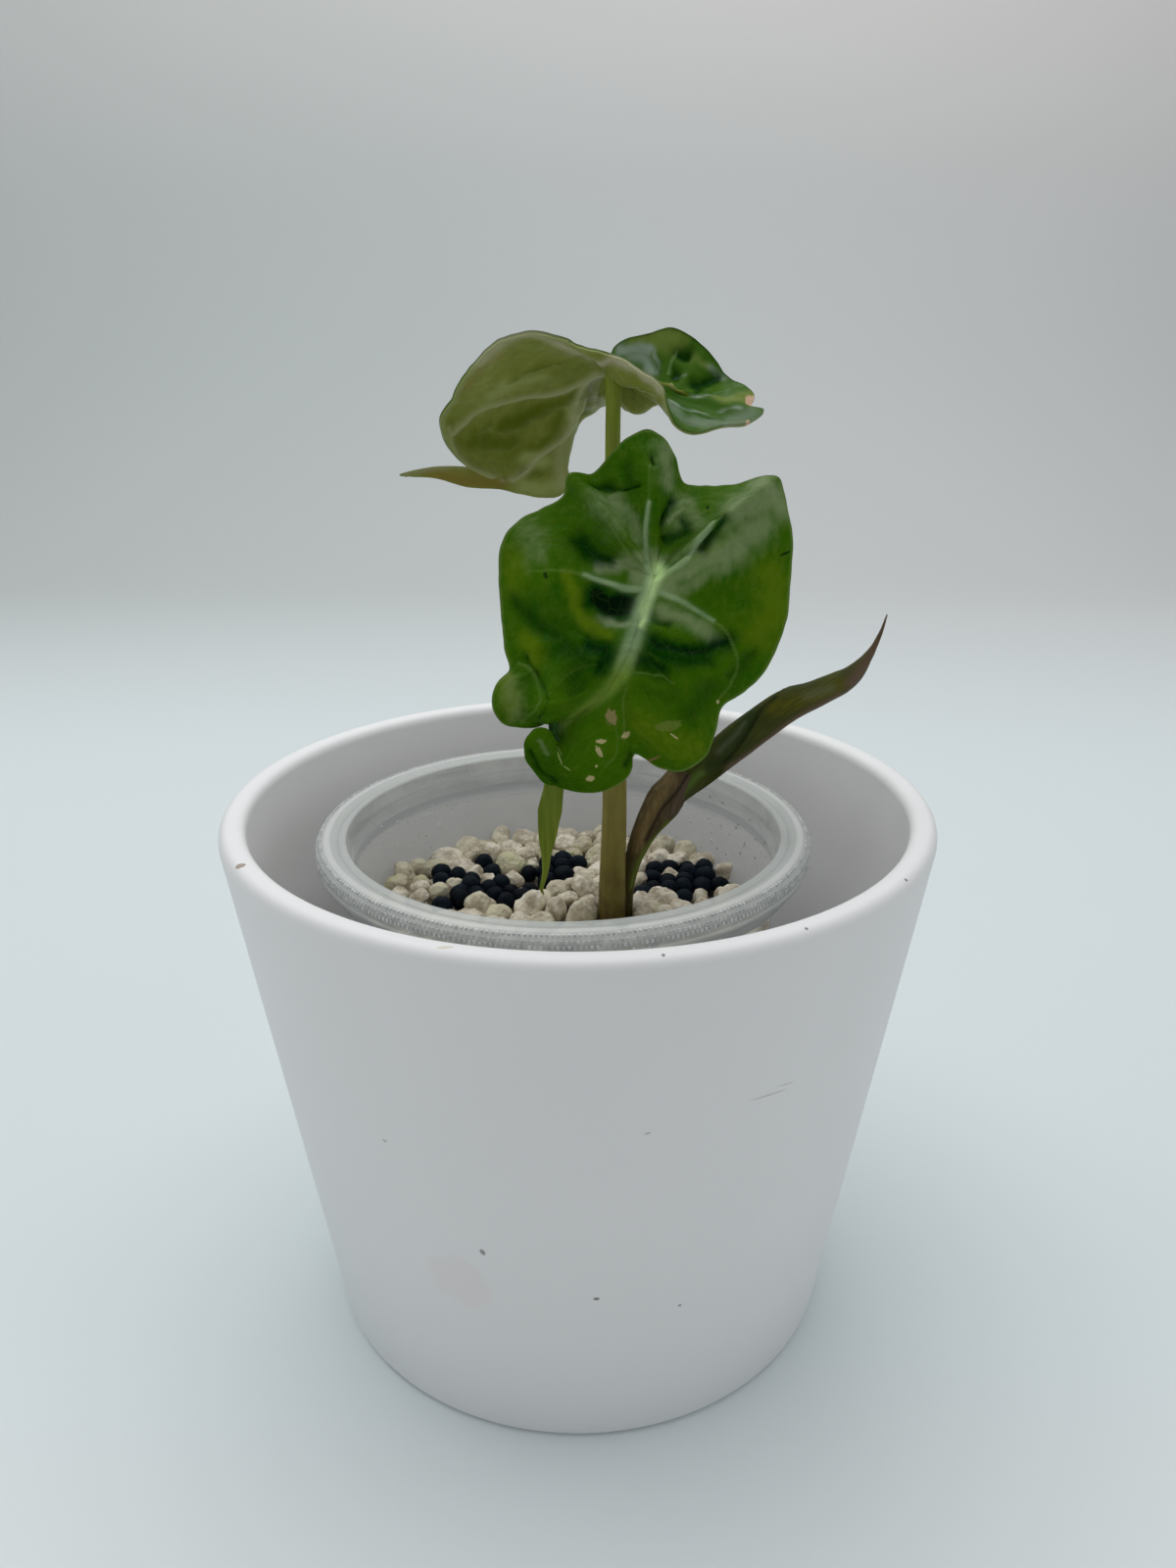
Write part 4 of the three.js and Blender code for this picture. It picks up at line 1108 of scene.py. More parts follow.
def normals_of(points, faces):
    """The direction that a sheet faces at each of its points."""
    a, b, c = (points[faces[:, corner]] for corner in range(3))
    total = np.zeros_like(points)
    for corner in range(3):
        np.add.at(total, faces[:, corner], np.cross(b - a, c - a))
    return total / np.maximum(np.linalg.norm(total, axis=1), 1e-9)[:, None]


def blade(name, midrib, ribs, up, strokes, depth, dip, ridge, wave):
    """A leaf blade from its midrib and its ribs: (station, x, y, z, bow, fold, is vein)."""
    ribs = [(*rib, *USUAL_RIB[len(rib):]) for rib in ribs]
    stations = np.array([rib[0] for rib in ribs], float)
    edge = np.array([rib[1:4] for rib in ribs], float)
    bends = np.array([(*rib[4], rib[5]) for rib in ribs], float)
    marks = np.where([rib[6] for rib in ribs])[0]
    rows = len(ribs) * SAMPLES
    row = np.arange(rows) // SAMPLES
    part = (np.arange(rows) % SAMPLES) / SAMPLES
    after = (row + 1) % len(ribs)
    eased = smooth_step(part, 0, 1)[:, None]
    bend = bends[row] * (1 - eased) + bends[after] * eased
    bow, fold = bend[:, :3], bend[:, 3]
    station = stations[row] * (1 - part) + stations[after] * part
    spine = curve_through(midrib, (len(midrib) - 1) * SAMPLES + 1)
    fine = np.arange(len(spine))
    root = np.stack([np.interp(station * SAMPLES, fine, line) for line in spine.T], axis=1)

    out = np.arange(1, RINGS + 1) / RINGS
    edges = closed_curve(edge, SAMPLES)
    sheet = root[:, None] + (edges - root)[:, None] * out[None, :, None]
    sheet += bow[:, None] * (4 * out * (1 - out))[None, :, None]
    sheet[..., 1] += fold[:, None] * (smooth_step(out, *FOLD_BAND) - out)
    sheet = np.vstack([spine, sheet.reshape(-1, 3)])
    first = len(spine)
    near_stalk = between_veins(edge, marks, row + part) * (1 - smooth_step(station, *HOLLOWS_END))
    reach = (HOLLOW_RISE * out * np.exp(1 - HOLLOW_RISE * out)) ** 2
    hollow = np.append(np.zeros(first), depth * np.outer(near_stalk, reach))

    ring_start = first + np.arange(rows) * RINGS
    foot = np.round(station * SAMPLES).astype(int)
    grid = np.column_stack([foot, ring_start[:, None] + np.arange(RINGS)])
    beyond = np.roll(grid, -1, axis=0)
    a, b, c, d = grid[:, :-1], beyond[:, :-1], beyond[:, 1:], grid[:, 1:]
    one = np.stack([a, b, c], axis=-1).reshape(-1, 3)
    two = np.stack([a, c, d], axis=-1).reshape(-1, 3)
    faces = np.vstack([one[one[:, 0] != one[:, 1]], two])
    total = len(sheet)
    rim_a, rim_b = grid[:, -1], beyond[:, -1]
    strip = np.vstack([
        np.stack([rim_b, rim_a, rim_a + total], axis=-1),
        np.stack([rim_b, rim_a + total, rim_b + total], axis=-1),
    ])
    if normals_of(sheet, faces)[0] @ np.array(up) < 0:
        faces, strip = faces[:, ::-1], strip[:, ::-1]

    normal = normals_of(sheet, faces)
    ripple = sum(
        share * np.array([noise.noise(Vector(p) * size) for p in sheet]) for size, share in RIPPLES
    )
    edge_share = np.append(np.zeros(first), np.tile(out, rows))
    masks = {
        label: stroke_mask(sheet, lines, 0.0 if "vein" in label else WANDER)
        for label, lines in strokes.items()
    }
    lift = wave * ripple * (CALM + (1 - CALM) * edge_share) - hollow - dip * masks["dark"]
    sheet = sheet + normal * lift[:, None]
    normal = normals_of(sheet, faces)
    upper = sheet + normal * (HALF_THICK + VEIN_RISE * masks["vein"])[:, None]
    lower = sheet - normal * (HALF_THICK + ridge * masks["vein"])[:, None]
    turn = 2 * math.pi * (row + part) / len(ribs)
    for label, across in (("rib_x", np.cos(turn)), ("rib_y", np.sin(turn))):
        masks[label] = np.append(np.zeros(first), np.outer(across, CALM + (1 - CALM) * out))
    masks["outward"] = edge_share
    masks = {label: np.tile(values, 2) for label, values in masks.items()}
    masks["under"] = np.repeat([0, 1], total)
    used = np.zeros(total, bool)
    used[faces] = True
    keep = np.tile(used, 2)
    fresh = np.cumsum(keep) - 1
    return make_piece(
        name,
        np.vstack([upper, lower])[keep] * MM,
        fresh[np.vstack([faces, faces[:, ::-1] + total, strip])],
        {label: values[keep] for label, values in masks.items()},
    )


# %% [markdown]
# ## The front leaf
# This is the leaf that the photograph is about: three upper lobes, a broad pale midrib, deep
# glossy hollows round the stalk, a fold at the lower left, a tail lobe that hooks up at its
# left, and the narrow drip tip that hangs out behind it.

# %% Front leaf ribs
PUFF = (0, -2.6, 1.1)
FRONT_MIDRIB = [
    (13, -23.5, 159.5), (10.5, -27.5, 153.5), (8, -31, 147.5), (4.5, -32.5, 142), (-0.5, -33, 138),
    (-1.2, -34.8, 134), (-2.6, -36.3, 131.8), (-4.2, -37, 131), (-5.6, -37.2, 131.2),
]
FRONT_RIBS = [
    (8, -9, -36.5, 132.5), (8, -7.8, -36.5, 130), (7, -5.5, -36.5, 127.6, (0, -0.4, 0)),
    (6, -3, -36.5, 126.5, (0, -0.6, 0)), (5, 2.5, -37, 126, (0, -0.8, 0)),
    (4, 7, -36.5, 127.5, (0, -1.4, 0)), (3, 9, -35.5, 129.5, (0, -0.6, 0)),
    (2.4, 9.5, -35, 132, (0, 0, 0), 0, True), (2.2, 13.5, -36, 130, (0, -1, 0.4)),
    (1.9, 17.5, -36.5, 129.5, (0, -1.6, 0.6)), (1.6, 21.5, -35, 131.5, (0, -2, 0.8)),
    (1.4, 23, -33, 135, PUFF), (1.2, 24.5, -31, 139, PUFF, 0, True), (1, 28.5, -29.5, 141.5, PUFF),
    (0.7, 33, -27, 145.5, PUFF), (0.4, 35.5, -24.5, 151.5, PUFF), (0.2, 36.5, -21.5, 159, PUFF),
    (0, 36.5, -18.5, 166.5, PUFF, 0, True), (0, 35, -18, 173, PUFF),
    (0, 34, -18, 175.5, PUFF, 0, True), (0, 31, -17.5, 175.5, PUFF), (0, 26, -16.5, 174, PUFF),
    (0, 20.5, -16.5, 173.5, PUFF, 0, True), (0, 18, -17, 174.5, PUFF),
    (0, 16.5, -16.5, 178.5, PUFF), (0, 14.5, -16.5, 181.5, PUFF), (0, 12, -16, 183, PUFF, 0, True),
    (0, 8.5, -15.5, 182, PUFF), (0, 5.5, -15.5, 179, PUFF), (0, 2.5, -15.5, 176, PUFF),
    (0, -1.5, -17.5, 176, PUFF, 0, True), (0, -2.5, -17, 172.5, PUFF), (0, -6, -17.5, 170.5, PUFF),
    (0, -10.5, -18.5, 168, PUFF), (0, -13, -19.5, 164.5, PUFF),
    (0.4, -13.5, -21.5, 159, PUFF, 0, True), (0.9, -13, -24, 152.5, PUFF),
    (1.4, -12.5, -26, 148, PUFF), (1.9, -11.5, -27.5, 144.5, (0, -2.4, 0.5), 1.5, True),
    (2.4, -14, -29, 142, (0.5, -2, 0), 4.2), (2.8, -14.5, -30.5, 139, (0.5, -2, 0), 5),
    (3.2, -12.5, -31, 136, (0, -1.6, 0), 4, True), (3.6, -8.5, -32, 136, (0, -1.2, 0), 1.6),
    (4, -5, -31.5, 137, (0, -0.6, 0)), (5, -3.4, -33.4, 134.6), (6, -4, -35, 134.2),
    (6, -4.6, -35.6, 135.8), (7, -5.4, -36, 136.8, (0, -0.5, 0)),
    (7, -6.7, -36.2, 137, (0, -0.6, 0)), (8, -8.4, -36.4, 135.6, (0, -0.4, 0)),
]

# %% Front leaf strokes
FRONT_STROKES = {
    "vein": [
        (1.7, 1.6, 1.0, [(13, 160), (11.5, 156.5), (10.5, 153.5), (9, 150), (7, 144.5)]),
        (1.6, 1.3, 0.9, [(7, 144.5), (4.5, 142), (1.5, 140), (-1, 138.5)]),
        (1.3, 1.2, 0.6, [(-1, 138.5), (-2.5, 137)]),
        (0.85, 0.4, 0.95, [(12, 161), (11.5, 164.5), (11.5, 168), (12, 172)]),
        (0.65, 0.45, 0.9, [(10.5, 158), (7.5, 158.5), (4.5, 159.5), (1, 160.5)]),
        (0.95, 0.5, 1.0, [(14, 160), (16.5, 161.5), (18, 162.5), (20, 165.5), (22.5, 169)]),
        (0.75, 0.45, 0.75, [(14, 157.5), (17.5, 156.5), (20.5, 155), (23, 153.5)]),
    ],
    "veinlet": [
        (0.5, 0.35, 0.65, [(12, 171), (12, 177.5), (12, 181)]),
        (0.5, 0.3, 1.0, [(10.5, 161.5), (9, 163.5), (7.5, 165.5), (5.5, 168.5)]),
        (0.45, 0.3, 1.0, [(1.5, 160.4), (-3, 161), (-8.5, 160.5)]),
        (0.55, 0.4, 1.0, [(22, 168), (25, 171.5), (27, 173.5), (31, 175), (33.5, 175.5)]),
        (0.45, 0.3, 0.9, [(18, 162), (21, 163.5), (24, 165), (26.5, 166.5)]),
        (0.5, 0.35, 0.9, [(22.5, 153.8), (25, 152), (26.5, 150), (27, 147.5), (27, 145),
            (25.5, 142.5), (24, 140.5)]),
        (0.4, 0.35, 0.8, [(9, 145.5), (11.5, 145.5), (14, 145), (16, 144)]),
        (0.4, 0.35, 0.8, [(8, 143), (7.5, 140.5), (7.5, 137.5), (7.5, 135.5)]),
        (0.4, 0.35, 0.7, [(5.5, 138.5), (6.5, 135), (6, 132), (4.5, 130.5)]),
        (0.4, 0.35, 0.7, [(-13.5, 141), (-12, 140.5), (-10.5, 141), (-9, 142)]),
        (0.4, 0.35, 0.6, [(-10.5, 141), (-8.5, 139.5), (-7, 140.5)]),
        (0.4, 0.4, 1.0, [(-10, 146), (-8, 145), (-7, 143), (-6.5, 141.5), (-7.5, 139),
            (-9.5, 136.5)]),
        (0.4, 0.35, 0.55, [(3, 147), (-1, 146), (-4, 143.5), (-6, 141)]),
        (0.4, 0.35, 0.5, [(10.5, 152), (7.5, 152), (3.5, 151), (-1, 151.5), (-6, 154)]),
        (0.4, 0.35, 0.5, [(27, 166.5), (30.5, 166.5), (34.5, 165)]),
        (0.4, 0.35, 0.5, [(16, 157), (22, 158.5), (28, 158.5), (33.5, 157)]),
    ],
    "glow": [
        (1.3, 0.9, 0.9, [(13.7, 161), (13.2, 159.2)]),
        (0.9, 0.5, 0.6, [(13, 159.5), (11.8, 156), (10.6, 152.5)]),
        (0.5, 0.4, 0.5, [(14, 160.3), (16.5, 161.6), (18.5, 163)]),
    ],
    "dark": [
        (2.6, 2.6, 1.4, [(3.4, 157.2), (5.4, 156.0), (8.5, 155.8)]),
        (2.8, 2.4, 0.9, [(10.5, 147.5), (14, 146.5)]),
        (2.3, 2.0, 0.9, [(0, 166), (2, 164), (5, 162.8)]),
        (0.9, 0.8, 0.85, [(3, 174.5), (6.5, 174), (10, 174.5)]),
        (0.9, 0.9, 0.95, [(16.5, 172), (15, 170), (14, 168.5)]),
        (1.3, 1.2, 0.75, [(15, 166), (18, 167), (18, 168.5)]),
        (1.2, 1.2, 0.85, [(24.5, 169.5), (23, 167.5), (21, 164.5)]),
        (0.5, 0.5, 0.9, [(12.5, 179), (13, 177.5)]),
        (2.0, 2.3, 1.0, [(12, 150.5), (17, 149), (22, 149), (25.5, 150)]),
        (3.2, 3.0, 0.65, [(-2.5, 149.5), (1, 148), (-0.5, 145.5)]),
        (2.4, 2.2, 0.95, [(2, 150), (5, 148.5), (4, 146.5)]),
        (2.6, 2.6, 0.5, [(-0.5, 143), (0.5, 144)]), (2.4, 2.4, 0.35, [(10.5, 142.8), (15, 141.5)]),
        (1.0, 1.0, 0.6, [(8, 130.5), (9, 132)]),
        (0.8, 0.8, 0.7, [(-8, 133), (-6.5, 130), (-4, 128)]),
        (1.5, 1.5, 0.4, [(-6.5, 153.5), (-2.5, 152.5), (1, 151.5)]),
        (1.1, 1.1, 0.65, [(11.5, 154), (15, 153)]),
        (0.6, 0.6, 0.6, [(-9, 147), (-6.5, 144), (-5.4, 141.5), (-6, 139), (-8, 136.5)]),
        (2.6, 2.2, 0.85, [(12, 149.5), (17, 147.5), (22, 147.5)]),
        (2.0, 2.0, 0.6, [(-10.5, 155.5), (-7, 152.5), (-3, 151)]),
        (2.6, 2.6, 0.45, [(19, 139), (22, 142)]), (1.8, 1.8, 0.5, [(30, 147.5), (26, 144)]),
        (1.8, 1.8, 0.5, [(8, 177.5), (9, 174)]), (2.0, 1.6, 0.4, [(3, 166.5), (6, 164)]),
    ],
    "sheen": [
        (0.45, 0.45, 1.0, [(14.5, 168), (16.5, 169.5), (18, 170.5)]),
        (2.0, 1.6, 0.6, [(4, 172.5), (6.5, 171.5), (9, 169), (10, 166.5)]),
        (1.4, 1.3, 0.95, [(4, 161.5), (7.5, 162), (10.2, 161.4)]),
        (1.0, 0.8, 1.0, [(4, 154.2), (6, 153), (8, 152.8)]),
        (1.5, 1.5, 0.6, [(15, 157.5), (18, 158.5), (21.5, 160.5), (25, 162)]),
        (1.4, 2.0, 0.75, [(16, 159.5), (20, 161.5), (26.5, 164)]),
        (2.0, 2.0, 0.5, [(25.5, 168), (28.5, 170.5), (32, 171)]),
        (1.9, 2.2, 0.4, [(26.5, 163), (30.5, 166)]),
        (1.5, 1.4, 0.8, [(14, 155), (17.5, 154), (21.5, 152), (23.5, 150.5)]),
        (2.1, 2.1, 0.8, [(10.5, 160), (14, 158.5), (15.5, 158.5)]),
        (1.1, 1.1, 0.5, [(14, 163), (17, 163.5)]), (0.35, 0.3, 0.6, [(-8.5, 168.5), (-6.5, 169.5)]),
        (1.3, 1.3, 0.35, [(-2, 137.5), (-3, 136)]), (0.5, 0.5, 0.5, [(-6.5, 135), (-5, 133.5)]),
        (2.8, 2.8, 0.42, [(-8.5, 167), (-7, 163.5)]), (3.0, 3.0, 0.5, [(3.8, 172), (7, 169)]),
        (2.2, 2.2, 0.55, [(17.5, 171.5), (20, 169)]), (3.4, 3.4, 0.8, [(26.4, 171), (32, 172)]),
        (2.6, 2.6, 0.95, [(31, 174.5), (34.5, 171)]),
        (2.2, 2.2, 0.4, [(-11.5, 143), (-10.5, 138.5)]),
        (3.2, 2.8, 0.75, [(31, 168), (26, 164.5), (20, 162.5)]),
        (2.2, 2.2, 0.6, [(14.6, 180), (15.2, 175)]),
        (1.6, 1.6, 0.75, [(8.5, 162.5), (11.8, 163), (14, 162.5)]),
        (2.2, 2.2, 0.45, [(16.5, 168.5), (19, 170)]),
    ],
    "warm": [
        (3.8, 3.8, 0.7, [(33, 160), (33.5, 154.5), (31, 151)]),
        (1.3, 1.2, 0.95, [(-1.6, 160), (-0.6, 157), (0.6, 154.6), (2.6, 152.6), (5, 151.4)]),
        (2.6, 3.2, 0.65, [(10, 137.5), (12, 136.5), (16, 133.5), (20, 133.5)]),
        (2.6, 2.6, 0.6, [(-10.5, 163), (-10.5, 159.5)]),
        (2.2, 2.2, 0.75, [(-9, 149.8), (-6.8, 147.3)]), (1.2, 1.2, 0.5, [(-1, 146), (0.5, 146.5)]),
        (2.0, 2.0, 0.95, [(-12, 143), (-11, 139)]),
    ],
}
front_leaf = blade(
    "front_leaf", FRONT_MIDRIB, FRONT_RIBS, up=(0, -1, 0.4), strokes=FRONT_STROKES,
    depth=1.9, dip=1.1, ridge=0.7, wave=0.5,
)

# %% Front leaf finish
CREAM = (0.46, 0.41, 0.20)
TAN = (0.28, 0.23, 0.10)
INK = (0.004, 0.018, 0.002)
PALE_LINE = (0.26, 0.33, 0.10)
scars = [
    ((5.6, -34.3, 138.2), (0.95, 3, 1.25), 0.35, 1.9, TAN, 0.85),
    ((8.0, -34.8, 135.3), (0.8, 3, 0.5), 0.4, 1.5, CREAM, 0.85),
    ((3.8, -35.9, 134.5), (0.95, 3, 0.35), 0.0, 1.5, CREAM, 0.9),
    ((3.5, -36.5, 132.9), (0.45, 3, 1.0), 0.5, 1.6, CREAM, 0.9),
    ((3.0, -37.0, 130.6), (0.25, 3, 0.25), 0.0, 0.5, CREAM, 0.9),
    ((2.0, -37.3, 128.5), (0.8, 3, 0.48), 0.25, 1.3, CREAM, 0.95),
    ((23.6, -31.8, 140.0), (0.3, 3, 0.38), 0.0, 0.6, CREAM, 0.9),
    ((15.0, -35.6, 136.9), (2.4, 4, 0.85), 0.1, 1.2, (0.15, 0.20, 0.035), 0.7),
    ((16.0, -35.9, 135.3), (0.9, 3, 0.16), -0.6, 0.6, CREAM, 0.85),
    ((-3.1, -36.8, 131.8), (0.15, 3, 1.3), 0.35, 0.4, PALE_LINE, 0.85),
    ((-1.9, -36.8, 130.2), (0.14, 3, 0.8), 0.95, 0.4, PALE_LINE, 0.85),
    ((21.9, -20.6, 170.9), (0.28, 3, 0.28), 0.0, 0.8, INK, 0.9),
    ((-5.4, -24.7, 160.3), (0.4, 3, 0.55), 0.4, 0.9, INK, 0.8),
    ((35.4, -21.0, 163.2), (1.1, 3, 0.22), 0.3, 0.8, INK, 0.9),
    ((12.0, -36.0, 131.1), (2.2, 3, 0.22), 0.5, 1.0, (0.22, 0.13, 0.06), 0.8),
]


def leaf_finish(name, roughness, patches, blotches):
    """Starts a leaf finish. Returns its parts, the masks on it and three uneven masks."""
    finish, tree, shader, place = new_finish(
        name, Roughness=roughness, IOR=1.42, Specular_IOR_Level=0.03, Coat_Roughness=0.22
    )
    labels = ("vein", "dark", "sheen", "warm", "outward", "under", "rib_x", "rib_y")
    on = {label: painted(tree, label) for label in labels}
    outward = calc(tree, "MULTIPLY", on["outward"], 0.16)
    among_ribs = {"X": on["rib_x"], "Y": on["rib_y"], "Z": outward}
    on["broad"] = mottled(tree, place, patches)
    on["small"] = mottled(tree, place, blotches, 0.25)
    on["streaks"] = mottled(tree, add_node(tree, "ShaderNodeCombineXYZ", among_ribs), 24.0, 0.22)
    return finish, tree, shader, place, on


def broken(tree, on, label, amount):
    """A painted mask whose edge is broken into streaks."""
    shift = calc(tree, "MULTIPLY_ADD", on["streaks"], amount, -0.5 * amount)
    return spread(tree, calc(tree, "ADD", on[label], shift), 0.0, 0.95)


glossy_green, tree, shader, place, on = leaf_finish("glossy_green_blade", 0.3, 55.0, 240.0)
net = {"Vector": place, "Scale": 420.0}
net = add_node(tree, "ShaderNodeTexVoronoi", net, feature="DISTANCE_TO_EDGE")
net_line = spread(tree, net, 0.07, 0.0)
green = layered(
    tree,
    tint(tree, on["broad"], (0.012, 0.082, 0.0003), (0.044, 0.132, 0.0005)),
    (on["small"], 0.3, (0.058, 0.130, 0.001)),
    (on["streaks"], 0.4, (0.076, 0.145, 0.002)),
    (broken(tree, on, "warm", 0.2), 1.0, (0.098, 0.172, 0.003)),
    # Painted reflection: the milky sheens on the glossy blade.
    (broken(tree, on, "sheen", 0.2), 0.75, (0.225, 0.300, 0.135)),
    # Painted shade in the hollows round the stalk, darkest in the deepest ones.
    (broken(tree, on, "dark", 0.18), 0.96, (0.0008, 0.034, 0.0003)),
    (spread(tree, on["dark"], 0.8, 1.1), 1.0, (0.0003, 0.009, 0.0012)),
    (net_line, 0.05, (0.168, 0.288, 0.06)),
)
strands = streaked(tree, place, (0.25, 1.0, 1.0), 520.0, lean=0.6)
pale = tint(tree, strands, (0.220, 0.335, 0.165), (0.325, 0.455, 0.240))
low_down = spread(tree, height_of(tree, place), 0.151, 0.144)
pale = tint(tree, low_down, pale, (0.170, 0.275, 0.040))
green = layered(
    tree,
    green,
    (spread(tree, painted(tree, "veinlet"), 0.25, 1.0), 0.55, (0.125, 0.215, 0.040)),
    (on["vein"], 0.3, pale),
    (spread(tree, on["vein"], 0.2, 0.95), 0.75, pale),
    # The pale hub where the veins meet, with a painted sheen over it.
    (painted(tree, "glow"), 1.0, (0.640, 0.900, 0.370)),
    # Painted highlight along the leaf's edge.
    (spread(tree, on["outward"], 0.97, 1.0), 0.5, (0.18, 0.264, 0.072)),
)
green = with_marks(tree, green, place, scars)
dull = tint(tree, on["streaks"], (0.100, 0.165, 0.030), (0.150, 0.220, 0.050))
dull = tint(tree, spread(tree, on["vein"], 0.15, 0.9), dull, (0.260, 0.330, 0.130))
feed(tree, tint(tree, on["under"], green, dull), shader.inputs["Base Color"])
feed(tree, calc(tree, "MULTIPLY", on["sheen"], 0.3), shader.inputs["Coat Weight"])
lumpy = calc(tree, "MULTIPLY_ADD", net_line, -0.3, effect(tree, grain, place, Size=420.0))
lumpy = calc(tree, "MULTIPLY_ADD", on["streaks"], 1.5, lumpy)
bump(tree, shader, lumpy, 0.00016, 0.5)
settle(front_leaf, glossy_green, "blade_front", "blade_front")

# %% Curled scrap beside the tail lobe
scrap_curve = [
    (-2.4, -33.2, 139.2), (-3.6, -34.0, 138.4), (-4.3, -35.0, 136.8), (-3.8, -35.6, 135.2),
    (-2.9, -35.6, 134.6),
]
scrap_sizes = [
    (0, 0.5, 0.4), (0.4, 0.75, 0.45), (0.8, 0.5, 0.4), (1, 0.15, 0.15),
]
scrap = swept("curled_scrap", scrap_curve, scrap_sizes, AWAY, sides=24, steps=50)
scrap_green, *_ = two_tone(
    "scrap_green", (0.006, 0.035, 0.002), (0.02, 0.09, 0.004), 600.0,
    Roughness=0.4, Specular_IOR_Level=0.15,
)
settle(scrap, scrap_green, "blade_front")

# %% Drip tip of the front leaf
tip_curve = [
    (0.6, -32.9, 138.6), (-2.2, -31, 134), (-3.5, -30.2, 129), (-4.4, -30, 123.5),
    (-5.2, -30, 118.5), (-5.7, -30, 112.5), (-6.0, -30, 108), (-6.7, -30, 104.8),
    (-6.3, -30, 103.6),
]
tip_sizes = [
    (0, 0.9, 0.45), (0.2, 1.7, 0.42), (0.375, 1.8, 0.42), (0.47, 2.15, 0.4), (0.56, 1.7, 0.38),
    (0.66, 0.85, 0.34), (0.75, 0.55, 0.3), (0.9, 0.3, 0.25), (1, 0.1, 0.1),
]
drip_tip = swept("front_drip_tip", tip_curve, tip_sizes, AWAY, sides=32)
tip_green, tree, shader, place = new_finish(
    "drip_tip_green", Roughness=0.35, Specular_IOR_Level=0.12
)
fine_veins = streaked(tree, place, (1, 1, 0.05), 1400.0)
tip_colour = tint(tree, fine_veins, (0.125, 0.185, 0.012), (0.20, 0.26, 0.03))
yellowing = spread(tree, painted(tree, "along"), 0.85, 1.0)
tip_colour = tint(tree, yellowing, tip_colour, (0.20, 0.19, 0.04))
feed(tree, tip_colour, shader.inputs["Base Color"])
bump(tree, shader, fine_veins, 0.0001, 0.5)
settle(drip_tip, tip_green, "blade_front")

# %% [markdown]
# ## The top leaf
# The top leaf is seen from its edge. Its left half turns away and shows the dull olive
# underside with raised pale veins; its right half is a glossy trough that opens towards us.
# The same blade builder makes it, with a stronger ridge under each vein.

# %% Top leaf ribs
DOME = (0, 1.8, 1.4)
TOP_MIDRIB = [
    (6.5, 0, 193), (1.5, 8, 189), (-0.5, 15, 183.5), (-3.5, 19, 178.5), (-9, 21.5, 174.5),
    (-15, 21.5, 171), (-22, 21, 171.5), (-28.5, 20.5, 172.5), (-34.5, 20, 172),
]
TOP_RIBS = [
    (7, -29, 20.5, 173.5), (6, -22.5, 21, 173.5), (5, -16.5, 21, 172.5), (4.4, -17.5, 18, 172),
    (3.9, -21, 13, 174, (0, 0.8, 0.6)), (3.4, -23.5, 9, 177, (0, 1.2, 1), 0, True),
    (2.9, -25, 5, 180.5, DOME), (2.4, -25, 1, 184, DOME), (1.9, -22, -3, 187.5, DOME, 0, True),
    (1.4, -20.5, -6, 190.5, DOME), (0.9, -17, -10, 194.5, DOME), (0.4, -12.5, -13, 197.5, DOME),
    (0, -8, -15, 198.5, (0, 0.5, 0.5), 0, True), (0, -3.5, -14, 198), (0, 0.5, -10, 196.5),
    (0, 5, -7, 195.5, (0, 0, -0.5)), (0, 8, -9, 194.5, (0, 0, -1.5)),
    (0, 11, -12, 192.5, (0, 0, -2)), (0, 14, -14, 190, (0, 0, -1.5)),
    (0, 15, -15, 187, (1, 0.5, -0.5), 0, True), (0, 16.5, -14, 184, (1.5, 1, 0.5)),
    (0, 20, -12, 182.5, (1, 0.5, 0.5)), (0, 25.5, -8, 183.5, (0.5, 0, 0)),
    (0, 30.5, -4, 183.5, (0, 0, -0.5)), (0, 33.4, -1.3, 185.3, (0, 0, -1), 0, True),
    (0, 31.4, 0.6, 186), (0, 32.2, 2.6, 187.6, (0, 0, -1.5)), (0, 31, 6, 189.3, (0, 0, -2.5)),
    (0, 28.5, 11, 190.5, (0, 0, -4)), (0, 25, 15, 195, (0, 0, -7), 0, True),
    (0, 21.5, 17, 198, (0, 0, -9)), (0, 18, 18, 199.5, (0, 0, -10.4)),
    (0, 14, 19, 198.5, (0, 0, -10)), (0, 9.5, 19, 197.2, (0, 0, -8.6), 0, True),
    (0, 7, 21, 195, (0, 0, -7)), (0, 6.5, 24, 191, (0, 0, -4.4)), (0, 5.5, 26, 186, (0, 0, -1.5)),
    (0.4, 3, 28, 183.5), (1, 0.5, 29, 182, (0, 0, 1), 0, True), (1.8, -1, 29, 179.5, (0, 0, 1)),
    (2.6, -2.5, 28, 174), (3.3, -2, 27, 170), (3.8, -3.5, 26, 167.5, (0, 0, 0), 0, True),
    (4.3, -7.5, 25, 167), (4.8, -12, 24, 168), (5.4, -16, 22, 169), (6, -22, 21, 169.5),
    (7, -28.5, 20.5, 171.3), (8, -35.5, 20, 172),
]

